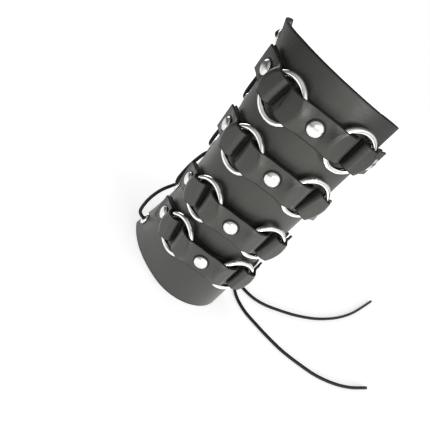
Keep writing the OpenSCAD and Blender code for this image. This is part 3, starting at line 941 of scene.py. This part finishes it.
@dataclass(frozen=True)
class Panel:
    """The leather panel, with dips round its eyelets and holes for them."""

    sleeve: Sleeve
    eyelets: EyeletRows
    slab: Slab
    across: int = 190
    up: int = 200
    ripple: float = 0.35
    wave_lengths: tuple[float, ...] = (13.0, 21.0, 17.0, 60.0, 31.0)
    wave_starts: Pair = (-0.6, 1.0)
    long_wave: float = 0.6
    mean_dip: float = 0.5
    wave_dip: float = 0.3
    calm_r: float = 9.0
    ditch: float = 0.25
    ditch_w: float = 1.6
    hole_gap: float = 0.1
    snap: float = 0.8
    inner_ripple: float = 0.6

    def dips(self, z: Array, s: Array) -> Array:
        """Heights of the face above its plain shape, never positive, with a ditch round each eyelet."""
        a, b, c, d, e = self.wave_lengths
        cross_start, long_start = self.wave_starts
        wave = np.sin(z / a + s / b) * np.sin(s / c + cross_start + z / d)
        wave = wave + self.long_wave * np.sin(z / e + long_start)
        h = -self.ripple * (self.mean_dip + self.wave_dip * wave)
        for eyelet_z, eyelet_s in self.eyelets.places(*Side):
            r = np.hypot(z - eyelet_z, s - eyelet_s)
            ditch = self.ditch * np.exp(-(((r - self.eyelets.outer_r) / self.ditch_w) ** 2))
            h = h * (1 - np.exp(-((r / self.calm_r) ** 4))) - ditch
        return h

    def grid(self) -> tuple[Array, Array, Array, tuple[Array, Array]]:
        """Lays out the sheet's points, and draws those round each hole onto its rim.

        Returns:
            Heights, distances along the face, the cells that the holes take away, and half thicknesses.
        """
        sleeve = self.sleeve
        s_places, s_halves = self.slab.stations(sleeve.width, self.across)
        z_places, z_halves = self.slab.stations(sleeve.length, self.up)
        s, z = np.meshgrid(s_places - sleeve.width / 2, z_places, indexing="ij")
        z = z * sleeve.rim_z(s) / sleeve.length
        bore = self.eyelets.bore_r + self.eyelets.wall + self.hole_gap
        middle_s, middle_z = ((v[1:, 1:] + v[:-1, :-1]) / 2 for v in (s, z))
        hole = np.zeros(middle_s.shape, bool)
        for hole_z, hole_s in self.eyelets.places(*Side):
            taken = np.hypot(middle_s - hole_s, middle_z - hole_z) < bore
            hole |= taken
            wide = np.pad(taken, 1)
            r = np.hypot(s - hole_s, z - hole_z)
            snapped = (wide[1:, 1:] | wide[:-1, 1:] | wide[1:, :-1] | wide[:-1, :-1]) & (r > bore - self.snap)
            pull = bore / np.maximum(r, LEAST)
            s = np.where(snapped, hole_s + (s - hole_s) * pull, s)
            z = np.where(snapped, hole_z + (z - hole_z) * pull, z)
        return z, s, hole, (s_halves, z_halves)

    def build(self, leather: Material) -> Obj:
        """Builds and dresses the panel."""
        z, s, hole, halves = self.grid()
        h = self.dips(z, s)
        outer = self.sleeve.at(z, s, h)
        inner = self.sleeve.at(z, s, h * self.inner_ripple - self.sleeve.thickness)
        skin = self.slab.build("panel_skin", (outer + inner) / 2, unit(outer - inner), halves, hole)
        return dress(skin, leather, Slot.PANEL, ["panel"])


@dataclass(frozen=True)
class Tube:
    """A round cord swept along a route, as a closed mesh with its length in its UV map."""

    radius: float
    sides: int = 16
    tip_share: float = 0.3

    @staticmethod
    def sideways(tangents: Array) -> Array:
        """A direction across the cord at each of its points, carried along it without a twist."""
        carried = np.zeros_like(tangents)
        last = np.array([0.0, 0.0, 1.0])
        for i, t in enumerate(tangents):
            last = unit(last - t * (last @ t))
            carried[i] = last
        return carried

    def unroll(self, piece: Obj, route: Array) -> None:
        """Gives a piece its UV map, round the cord and along it in metres."""
        turns, run = np.arange(self.sides + 1) / self.sides, run_along(route) * MM
        u, v = np.meshgrid(turns[:-1], run[:-1])
        u_next, v_next = np.meshgrid(turns[1:], run[1:])
        corners = np.stack([u, v, u_next, v, u_next, v_next, u, v_next], axis=-1).reshape(-1, 2)
        uv = np.zeros((len(piece.data.loops), 2), np.float32)
        uv[: len(corners)] = corners
        piece.data.uv_layers.new(name="UVMap").data.foreach_set("uv", uv.ravel())

    def build(self, name: str, route: Array) -> Obj:
        """Builds the mesh.

        Args:
            name: Name of the piece.
            route: Points of the cord's middle, in millimetres.

        Returns:
            The piece.
        """
        tangents = unit(np.gradient(route, axis=0))
        sideways = self.sideways(tangents)
        other = np.cross(tangents, sideways)
        angles = 2 * math.pi * np.arange(self.sides) / self.sides
        cos, sin = np.cos(angles)[None, :, None], np.sin(angles)[None, :, None]
        ring = cos * sideways[:, None] + sin * other[:, None]
        points = (route[:, None] + self.radius * ring).reshape(-1, 3)
        n, m = len(route), self.sides
        faces = tube_faces(n, m)
        faces += [(n * m, (k + 1) % m, k) for k in range(m)]
        faces += [(n * m + 1, (n - 1) * m + k, (n - 1) * m + (k + 1) % m) for k in range(m)]
        tip = self.tip_share * self.radius
        caps = np.array([route[0] - tangents[0] * tip, route[-1] + tangents[-1] * tip])
        piece = mesh_piece(name, np.vstack([points, caps]), faces, {})
        self.unroll(piece, route)
        return piece


@dataclass(frozen=True)
class Lacing:
    """The lace: its crossings over the open back and its two loose ends, in millimetres."""

    sleeve: Sleeve
    eyelets: EyeletRows
    lace_d: float = 3.0
    tuck: float = 1.15
    lift: float = 8.0
    lift_fall: int = 8
    top_lift: float = 3.0
    bow: float = 24.0
    bow_step: float = 3.4
    crossing_steps: int = 6
    smooth_steps: int = 6
    lead_steps: int = 2
    over_shares: Pair = (0.7, 0.6)
    arc_path: tuple[Triple, ...] = (
        (0.06, 0.1, 0.72), (0.18, 0.24, 0.95), (0.38, 0.42, 1.0), (0.58, 0.62, 0.82), (0.74, 0.86, 0.46),
    )
    end_a: tuple[Triple, ...] = (
        (13, 63, 10), (15, 68, 8), (20, 72, 6), (27, 74, 4), (34, 73, 2), (41, 69, 1.6), (47, 62, 1.6),
        (51, 53, 1.6), (57, 45, 1.6), (66, 38, 1.6), (78, 33, 1.6), (92, 28, 1.6), (108, 24, 1.6),
        (126, 23, 1.6), (145, 24, 1.6), (165, 30, 1.6), (184, 40, 1.6), (204, 55, 1.6),
    )
    end_b: tuple[Triple, ...] = (
        (-54, 66, 10), (-52, 73, 7), (-45, 79, 4), (-35, 82, 2), (-20, 82, 1.6), (0, 81, 1.6), (20, 80, 1.6),
        (38, 76, 1.6), (54, 69, 1.6), (68, 65, 1.6), (82, 67, 1.6), (98, 74, 1.6), (118, 85, 1.6),
        (140, 101, 1.6), (160, 120, 1.6), (178, 141, 1.6), (195, 165, 1.6), (211, 192, 1.6), (228, 222, 1.6),
    )

    def lace_in(self, k: int, side: int) -> list[Array]:
        """Lace from the back of the seam edge, under it and out through an eyelet."""
        z, s, at = self.eyelets.z(k, side), self.eyelets.arc, self.sleeve.at
        thick, edge = self.sleeve.thickness, self.sleeve.width / 2
        under = -thick - self.lace_d * self.tuck
        return [
            at(z - self.lace_d / 2, side * (edge + self.lace_d), under + self.lace_d / 2),
            at(z - self.lace_d / 4, side * (s + self.lace_d), under),
            at(z, side * s, -thick - self.lace_d / 4),
            at(z, side * s, self.lace_d * 2 / 3),
        ]

    def arc_lift(self, k: int) -> float:
        """Height of the arc of lace at an eyelet, which falls quickly from the wrist up."""
        left = 1 - (k - 1) / (self.eyelets.count - 1)
        return self.top_lift + (self.lift - self.top_lift) * left**self.lift_fall

    def lace_arc(self, k: int, side: int) -> list[Array]:
        """Loose arc of lace from an eyelet up to where it goes over the seam edge."""
        z, s = self.eyelets.z(k, side), self.eyelets.arc
        pitch = self.eyelets.z(k + 1, side) - z
        over = self.sleeve.width / 2 + self.lace_d - s
        return [
            self.sleeve.at(z + pitch * a, side * (s + over * b), self.arc_lift(k) * c + self.lace_d / 2)
            for a, b, c in self.arc_path
        ]

    def lace_over(self, side: int) -> list[Array]:
        """Lace from the topmost eyelet straight over the seam edge."""
        z, s, d = self.eyelets.z(self.eyelets.count, side), self.eyelets.arc, self.lace_d
        first, second = (self.top_lift * share + d / 2 for share in self.over_shares)
        edge = self.sleeve.width / 2 + d
        places = ((z + d / 2, s + d / 2, first), (z + d, s + 2 * d, second), (z + d, edge, d))
        return [self.sleeve.at(up, side * across, h) for up, across, h in places]

    def crossing(self, start: Array, end: Array, bow: float) -> list[Array]:
        """Bowed crossing behind the arm from one point of the lace to another."""
        line = []
        for i in range(1, self.crossing_steps):
            k = i / self.crossing_steps
            across = (1 - math.cos(math.pi * k)) / 2
            point = start + (end - start) * k
            point[0] += (across - k) * (end[0] - start[0])
            point[1] += bow * math.sin(math.pi * k)
            line.append(point)
        return line

    def lace_up(self, side: int, bow: float) -> list[Array]:
        """Lace from the wrist eyelet of one side, across and across again, to the last eyelet."""
        line: list[Array] = []
        for k in range(1, self.eyelets.count):
            arc = [*self.lace_in(k, side), *self.lace_arc(k, side)]
            line += [*arc, *self.crossing(arc[-1], self.lace_in(k + 1, -side)[0], bow)]
            side = -side
        return [*line, *self.lace_in(self.eyelets.count, side), *self.lace_over(side)]

    def route(self) -> Array:
        """The points of the whole lacing, from the wrist eyelet on the left to the one on the right."""
        first = self.lace_up(Side.LEFT, self.bow)
        second = self.lace_up(Side.RIGHT, self.bow + self.bow_step)
        return np.array([*first, *self.crossing(first[-1], second[-1], self.bow), *reversed(second)])

    def end_route(self, laced: Array, loose: Sequence[Sequence[float]]) -> Array:
        """A loose end that carries straight on from one end of the lacing.

        Args:
            laced: The lacing's own smooth route, starting at the end that the loose end leaves.
            loose: Points of the loose end.

        Returns:
            The smooth route of the loose end.
        """
        led = np.vstack([2 * laced[0] - laced[1], np.array(loose, float)])
        return np.vstack([laced[:1], smooth_route(led, self.smooth_steps)])

    def build_ends(self, finish: Material) -> None:
        laced = smooth_route(self.route(), self.lead_steps)
        for letter, start, loose in (("a", laced[::-1], self.end_a), ("b", laced, self.end_b)):
            path = self.end_route(start, loose)
            piece = Tube(self.lace_d / 2).build(f"lace_end_{letter}_cord", path)
            dress(piece, finish, Slot.LACE, [f"lace_end_{letter}"])
            length = float(run_along(path)[-1] * MM)
            log.info("lace end %s is %.0f mm long", letter, length / MM)

    def build_back(self, finish: Material) -> None:
        """Builds the lacing over the open back."""
        piece = Tube(self.lace_d / 2).build("back_lacing_cord", smooth_route(self.route(), self.smooth_steps))
        dress(piece, finish, Slot.LACE, ["back_lacing"])


class NodeShape:
    """A Geometry Nodes tree with named inputs, built step by step."""

    def __init__(self, name: str, sizes: dict[str, float]) -> None:
        """Starts the tree.

        Args:
            name: Name of the tree.
            sizes: Each named input and its value, in millimetres.
        """
        self.group = bpy.data.node_groups.new(name, "GeometryNodeTree")
        self.tree = Tree(self.group)
        new_socket = self.group.interface.new_socket
        for way in ("INPUT", "OUTPUT"):
            new_socket("Geometry", in_out=way, socket_type="NodeSocketGeometry")
        self.sizes = sizes
        made = {key: new_socket(key, in_out="INPUT", socket_type="NodeSocketFloat") for key in sizes}
        self.ids = {key: socket.identifier for key, socket in made.items()}
        self.input = self.tree.add("NodeGroupInput")
        self.output = self.tree.add("NodeGroupOutput")

    def size(self, key: str) -> Socket:
        """One of the named sizes."""
        return self.input.outputs[key]

    def lathe(self, profile: Sequence[tuple[object, object]], turns: int) -> Socket:
        """Turns a closed profile round +Z.

        Args:
            profile: Pairs of a distance from the axis and a height, each a number or a socket.
            turns: Number of segments round the axis.

        Returns:
            The mesh.
        """
        add, calc, count = self.tree.add, self.tree.math, len(profile)
        cells = {"Size X": 1.0, "Size Y": 1.0, "Vertices X": turns + 1, "Vertices Y": count + 1}
        grid = add("GeometryNodeMeshGrid", cells).outputs["Mesh"]
        place = add("ShaderNodeSeparateXYZ", {0: add("GeometryNodeInputPosition").outputs[0]})
        across, up = (calc("ADD", place.outputs[axis], 0.5) for axis in "XY")
        row = calc("ROUND", calc("MULTIPLY", up, float(count)))
        radius, height = 0.0, 0.0
        for k, (r, h) in enumerate([*profile, profile[0]]):
            here = calc("COMPARE", row, float(k), ROW_MATCH)
            radius = calc("ADD", radius, calc("MULTIPLY", here, r))
            height = calc("ADD", height, calc("MULTIPLY", here, h))
        angle = calc("MULTIPLY", across, 2 * math.pi)
        x, y = (calc("MULTIPLY", radius, calc(wave, angle)) for wave in ("COSINE", "SINE"))
        spot = add("ShaderNodeCombineXYZ", {0: x, 1: y, 2: height}).outputs[0]
        bent = add("GeometryNodeSetPosition", {"Geometry": grid, "Position": spot}).outputs[0]
        return add("GeometryNodeMergeByDistance", {"Geometry": bent, "Distance": POLE_M}).outputs[0]

    def scatter(self, shape: Socket, material: Material) -> None:
        """Puts the shape on every point of the input, turned by the attribute turn, and ends the tree."""
        add = self.tree.add
        turn = add("GeometryNodeInputNamedAttribute", {"Name": "turn"}, data_type="FLOAT_VECTOR").outputs[0]
        turned = add("FunctionNodeEulerToRotation", {0: turn}).outputs[0]
        copies = {"Points": self.input.outputs["Geometry"], "Instance": shape, "Rotation": turned}
        put = add("GeometryNodeInstanceOnPoints", copies)
        real = add("GeometryNodeRealizeInstances", {0: put.outputs[0]})
        smooth = add("GeometryNodeSetShadeSmooth", {"Geometry": real.outputs[0]})
        done = add("GeometryNodeSetMaterial", {"Geometry": smooth.outputs[0], "Material": material})
        self.tree.feed(self.output, {"Geometry": done.outputs[0]})

    def make(self, name: str, points: Array, turns: Sequence[Triple]) -> Obj:
        """Runs the tree on a set of points and keeps the plain mesh that comes out.

        Args:
            name: Name of the piece.
            points: Places in millimetres.
            turns: Euler angles at each place.

        Returns:
            The piece, without a modifier.
        """
        seed = mesh_piece(name + "_points", points, [], {})
        seed.data.attributes.new("turn", "FLOAT_VECTOR", "POINT").data.foreach_set("vector", np.ravel(turns))
        modifier = seed.modifiers.new("shape", "NODES")
        modifier.node_group = self.group
        for key, value in self.sizes.items():
            modifier[self.ids[key]] = value * MM
        graph = bpy.context.evaluated_depsgraph_get()
        mesh = bpy.data.meshes.new_from_object(seed.evaluated_get(graph))
        mesh.name = name
        bpy.data.objects.remove(seed)
        piece = bpy.data.objects.new(name, mesh)
        bpy.context.scene.collection.objects.link(piece)
        return weld(piece)


@dataclass(frozen=True)
class Fasteners:
    """The rivets and the eyelets, placed on points by Geometry Nodes."""

    sleeve: Sleeve
    bands: Bands
    eyelets: EyeletRows
    cap_h: float = 2.2
    post_r: float = 1.6
    back_r: float = 4.5
    back_h: float = 1.2
    turns: int = 48
    cap_profile: tuple[Pair, ...] = (
        (0.0, 1.0), (0.2, 0.985), (0.4, 0.94), (0.56, 0.86), (0.7, 0.745), (0.81, 0.61), (0.89, 0.48),
        (0.945, 0.37), (0.985, 0.27), (1.0, 0.17), (0.985, 0.07), (0.94, 0.0),
    )
    back_profile: tuple[Pair, ...] = ((0.99, 0.0005), (0.9, 0.00015), (0.6, 0.0), (0.0, 0.0))
    flange_bevel_m: Pair = (0.0002, 0.0001)
    bore_bevel_m: float = 0.0003
    rim_steps: int = 12

    def rivet_shape(self, height: float, material: Material, name: str) -> NodeShape:
        """A tree for rivets whose cap lies at a height above the face."""
        sleeve = self.sleeve
        back = -sleeve.thickness - self.bands.seat_gap - self.back_r**2 / (2 * sleeve.hollow_r) - self.back_h
        shape = NodeShape(name, {
            "Cap radius": self.bands.cap_r, "Cap height": self.cap_h, "Post radius": self.post_r,
            "Cap place": height, "Back cap radius": self.back_r, "Back cap height": self.back_h,
            "Back place": back,
        })
        calc, size = shape.tree.math, shape.size
        r, h, z = size("Cap radius"), size("Cap height"), size("Cap place")
        post, br, bz = size("Post radius"), size("Back cap radius"), size("Back place")
        bottom = calc("ADD", bz, size("Back cap height"))
        profile = [(calc("MULTIPLY", r, a), calc("MULTIPLY_ADD", h, b, z)) for a, b in self.cap_profile]
        profile += [(post, z), (post, bottom), (br, bottom)]
        profile += [(calc("MULTIPLY", br, a), calc("ADD", bz, b)) for a, b in self.back_profile]
        shape.scatter(shape.lathe(profile, self.turns), material)
        return shape

    def eyelet_shape(self, material: Material) -> NodeShape:
        """The tree for eyelets: a rolled rim, a barrel and a flange."""
        e = self.eyelets
        shape = NodeShape("eyelet_shape", {
            "Rim radius": e.outer_r, "Bore radius": e.bore_r, "Wall": e.wall, "Rim height": e.rim_h,
            "Rim edge": e.edge_h, "Seat": e.seat, "Flange": e.flange_t, "Lift": e.seat_gap,
        })
        calc, size = shape.tree.math, shape.size
        rim, bore, lift = size("Rim radius"), size("Bore radius"), size("Lift")
        mid = calc("MULTIPLY", calc("ADD", rim, bore), 0.5)
        half = calc("MULTIPLY", calc("SUBTRACT", rim, bore), 0.5)
        rise = calc("SUBTRACT", size("Rim height"), size("Rim edge"))
        barrel, flange = calc("ADD", bore, size("Wall")), calc("SUBTRACT", rim, size("Wall"))
        seat, edge = calc("ADD", size("Seat"), lift), calc("ADD", size("Rim edge"), lift)
        low = calc("SUBTRACT", seat, size("Flange"))
        under, over = self.flange_bevel_m
        profile = [
            (calc("SUBTRACT", flange, under), low), (flange, calc("ADD", low, under)),
            (flange, calc("SUBTRACT", seat, over)), (barrel, seat), (barrel, lift), (rim, lift),
        ]
        for a in np.linspace(0, math.pi, self.rim_steps + 1).tolist():
            up = calc("MULTIPLY_ADD", rise, math.sin(a), edge)
            profile.append((calc("MULTIPLY_ADD", half, math.cos(a), mid), up))
        profile += [(bore, calc("ADD", low, self.bore_bevel_m)), (calc("ADD", bore, self.bore_bevel_m), low)]
        shape.scatter(shape.lathe(profile, self.turns), material)
        return shape

    def build_all(self, rivet_metal: Material, eyelet_metal: Material) -> None:
        """Builds and dresses the groups of rivets and eyelets."""
        b = self.bands
        numbers = range(1, b.count + 1)
        rows = {"centre_rivets": (b.centre_top, [(b.z(i), 0.0) for i in numbers])}
        for side in Side:
            rows[f"{side.word}_end_rivets"] = (b.end_top, [b.end_rivet(i, side) for i in numbers])
        for node, (top, places) in rows.items():
            shape = self.rivet_shape(top + b.strap_t / 2 + b.seat_gap / 3, rivet_metal, node + "_shape")
            self.place(shape, node, places, rivet_metal, Slot.RIVET)
        shape = self.eyelet_shape(eyelet_metal)
        for side in Side:
            self.place(shape, f"{side.word}_eyelets", self.eyelets.places(side), eyelet_metal, Slot.EYELET)

    def place(self, shape: NodeShape, node: str, places: list[Pair], material: Material, slot: Slot) -> None:
        """Puts one kind of fastener at places given as a height and a distance along the face."""
        points = np.array([self.sleeve.at(z, s) for z, s in places])
        turns = [self.sleeve.turn_at(z, s) for z, s in places]
        dress(shape.make(node + "_metal", points, turns), material, slot, [node])


@dataclass(frozen=True)
class Rings:
    """The O-rings, each bent from round wire with a fine closing seam."""

    sleeve: Sleeve
    bands: Bands
    around: int = 144
    wire_sides: int = 32
    seam_depth: float = 0.05
    seam_width: float = 0.5

    def build_all(self, chrome: Material) -> None:
        """Builds and dresses every ring on its own body."""
        for i in range(1, self.bands.count + 1):
            for side in Side:
                node = f"{side.word}_o_ring_{i}"
                dress(self.ring(node + "_wire", i, side), chrome, Slot.RING, [node], body=node)

    def ring(self, name: str, i: int, side: int) -> Obj:
        """Builds one ring, with its seam under the strap that holds it."""
        b = self.bands
        origin, along, up, out = self.sleeve.axes(b.z(i), side * b.ring_arc)
        a, c = (2 * math.pi * np.arange(n) / n for n in (self.around, self.wire_sides))
        seam = self.seam_depth * np.exp(-((np.minimum(a, 2 * math.pi - a) * b.ring_r / self.seam_width) ** 2))
        wire = (b.wire_r - seam)[:, None]
        spoke = side * along * np.cos(a)[:, None] + up * np.sin(a)[:, None]
        reach = b.ring_r + wire * np.cos(c)
        points = spoke[:, None] * reach[..., None] + out * (b.ring_h + wire * np.sin(c))[..., None] + origin
        faces = tube_faces(self.around, self.wire_sides, closed=True)
        return weld(mesh_piece(name, points.reshape(-1, 3), faces, {}))


@dataclass(frozen=True)
class Studio:
    """The floor, the lamps and the camera. The camera takes the image to be 430 by 430 pixels."""

    camera_mm: Triple = (-35.47, -290.24, 227.95)
    right: Triple = (0.7996, 0.2210, 0.5583)
    down: Triple = (0.5964, -0.4007, -0.6956)
    forward: Triple = (0.0700, 0.8892, -0.4522)
    lens_mm: float = 38.07
    sensor_mm: float = 36.0
    clip_m: Pair = (0.01, 50.0)
    floor_half_m: float = 6.0
    sheet_m: Pair = (0.35, 1.1)
    sheet_greys: Pair = (0.9, 0.25)
    shown_glow: Pair = (0.5, 0.6)
    bright_way: Triple = (0.6, -0.8, 0.0)
    bright_m: Pair = (-0.3, 0.15)
    bright_levels: Pair = (0.45, 1.0)
    lamps: tuple[tuple[str, Triple, float, float], ...] = (
        ("key", (0.95, -1.0, 0.24), 0.5, 6.5),
        ("front", (0.1, -1.35, 0.3), 0.4, 3.0),
        ("rim", (-0.7, 0.8, 0.5), 0.6, 3.0),
    )
    aim_mm: Triple = (0.0, 20.0, 100.0)
    beside: Triple = (0.86, -0.46, -0.22)
    room_level: float = 0.10
    front_level: float = 0.6
    beside_level: float = 0.9
    back_level: float = 1.0
    front_span: Pair = (0.2, 0.8)
    beside_span: Pair = (0.15, 0.6)
    back_span: Pair = (-0.5, -0.75)

    def camera(self) -> None:
        """Makes the camera at the photograph's angle."""
        data = bpy.data.cameras.new("camera")
        data.lens, data.sensor_width, data.sensor_height = self.lens_mm, self.sensor_mm, self.sensor_mm
        data.clip_start, data.clip_end = self.clip_m
        camera = bpy.data.objects.new("camera", data)
        bpy.context.scene.collection.objects.link(camera)
        turn = Matrix([self.right, [-v for v in self.down], [-v for v in self.forward]]).transposed()
        camera.matrix_world = Matrix.Translation([v * MM for v in self.camera_mm]) @ turn.to_4x4()
        bpy.context.scene.camera = camera

    def floor(self) -> None:
        """Makes the pale sheet, which the camera sees white.

        For other rays it glows as well, most in front and to the right, and fades out with distance.
        """
        h = self.floor_half_m / MM
        corners = np.array([(-h, -h, 0.0), (h, -h, 0.0), (h, h, 0.0), (-h, h, 0.0)])
        piece = mesh_piece("floor", corners, [(0, 1, 2, 3)], {})
        material = bpy.data.materials.new("floor_paper")
        material.use_nodes = True
        tree = Tree(material.node_tree)
        tree.tree.nodes.clear()
        where = tree.add("ShaderNodeTexCoord").outputs["Object"]
        far = tree.ramp(tree.vector("LENGTH", "Value", where), self.sheet_m, (0.0, 1.0))
        near_grey, far_grey = ((level,) * 3 for level in self.sheet_greys)
        paper = tree.add("ShaderNodeBsdfDiffuse", {"Color": tree.blend(far, near_grey, far_grey)}).outputs[0]
        level, rise = self.shown_glow
        shown = tree.math("MULTIPLY_ADD", far, rise, level)
        ahead = tree.vector("DOT_PRODUCT", "Value", where, self.bright_way)
        lit = tree.ramp(ahead, self.bright_m, self.bright_levels)
        felt = tree.math("MULTIPLY", tree.math("SUBTRACT", 1.0, far), lit)
        glow = tree.add("ShaderNodeEmission", {"Strength": self.by_ray(tree, felt, shown)}).outputs[0]
        both = tree.add("ShaderNodeAddShader", {0: paper, 1: glow}).outputs[0]
        tree.add("ShaderNodeOutputMaterial", {"Surface": both})
        piece.data.materials.append(material)

    @staticmethod
    def by_ray(tree: Tree, felt: Socket, shown: Socket | float) -> Socket:
        """One level for the rays that light things, and another for what the camera sees."""
        seen = tree.add("ShaderNodeLightPath").outputs["Is Camera Ray"]
        return tree.add("ShaderNodeMix", {"Factor": seen, "A": felt, "B": shown}).outputs[0]

    def world(self) -> None:
        """Shows white to the camera.

        To other rays it is a dim room that is bright in front, behind and to the right.
        """
        world = bpy.data.worlds.new("studio")
        bpy.context.scene.world = world
        world.use_nodes = True
        tree = Tree(world.node_tree)
        tree.tree.nodes.clear()
        way = tree.add("ShaderNodeTexCoord").outputs["Generated"]
        front = tree.vector("DOT_PRODUCT", "Value", way, tuple(-v for v in self.forward))
        right = tree.vector("DOT_PRODUCT", "Value", way, self.beside)
        level = tree.ramp(front, self.front_span, (self.room_level, self.front_level))
        for facing, span, more in (
            (right, self.beside_span, self.beside_level), (front, self.back_span, self.back_level),
        ):
            level = tree.math("ADD", level, tree.ramp(facing, span, (0.0, more)))
        white = {"Strength": self.by_ray(tree, level, 1.0), "Color": (1.0, 1.0, 1.0, 1.0)}
        tree.add("ShaderNodeOutputWorld", {"Surface": tree.add("ShaderNodeBackground", white).outputs[0]})

    def lights(self) -> None:
        """Makes the soft lamps, each aimed at the middle of the gauntlet."""
        aim = np.array(self.aim_mm) * MM
        for name, place, size, watts in self.lamps:
            data = bpy.data.lights.new(name, "AREA")
            data.shape, data.size, data.energy = "DISK", size, watts
            lamp = bpy.data.objects.new(name, data)
            bpy.context.scene.collection.objects.link(lamp)
            back = unit(np.array(place) - aim)
            side = unit(np.cross([0.0, 0.0, 1.0], back))
            turn = Matrix(np.stack([side, np.cross(back, side), back], axis=1).tolist())
            lamp.matrix_world = Matrix.Translation(place) @ turn.to_4x4()

    def build(self) -> None:
        """Makes everything but the camera."""
        self.floor()
        self.world()
        self.lights()
        bpy.context.scene.view_settings.view_transform = "Standard"


def main() -> None:
    """Builds every piece in order."""
    logging.basicConfig(level=logging.INFO, format="%(name)s: %(message)s")
    sleeve = Sleeve()
    bands, eyelets = Bands(sleeve), EyeletRows(sleeve)
    studio = Studio()
    studio.camera()
    lace = Lace("black_lace").build()
    lacing = Lacing(sleeve, eyelets)
    lacing.build_ends(lace)
    lacing.build_back(lace)
    skin = Leather("panel_leather")
    strap_skin = Leather(
        "strap_leather", deep=(0.0042, 0.0043, 0.0040), pale=(0.0085, 0.0087, 0.0082), gloss=0.36
    )
    rivet_metal = Plating(
        "rivet_nickel", colour=(0.76, 0.755, 0.735), gloss=0.2, dents_m=0.0003, dent_noise=(300.0, 1.0)
    )
    eyelet_metal = Plating("eyelet_nickel", colour=(0.85, 0.85, 0.84), gloss=0.1)
    Panel(sleeve, eyelets, Slab(sleeve.thickness, round_r=0.7)).build(skin.build())
    Straps(sleeve, bands, Slab(bands.strap_t, round_r=0.4)).build_all(strap_skin.build())
    Rings(sleeve, bands).build_all(Plating("polished_chrome").build())
    Fasteners(sleeve, bands, eyelets).build_all(rivet_metal.build(), eyelet_metal.build())
    studio.build()


if __name__ == "__main__":
    main()
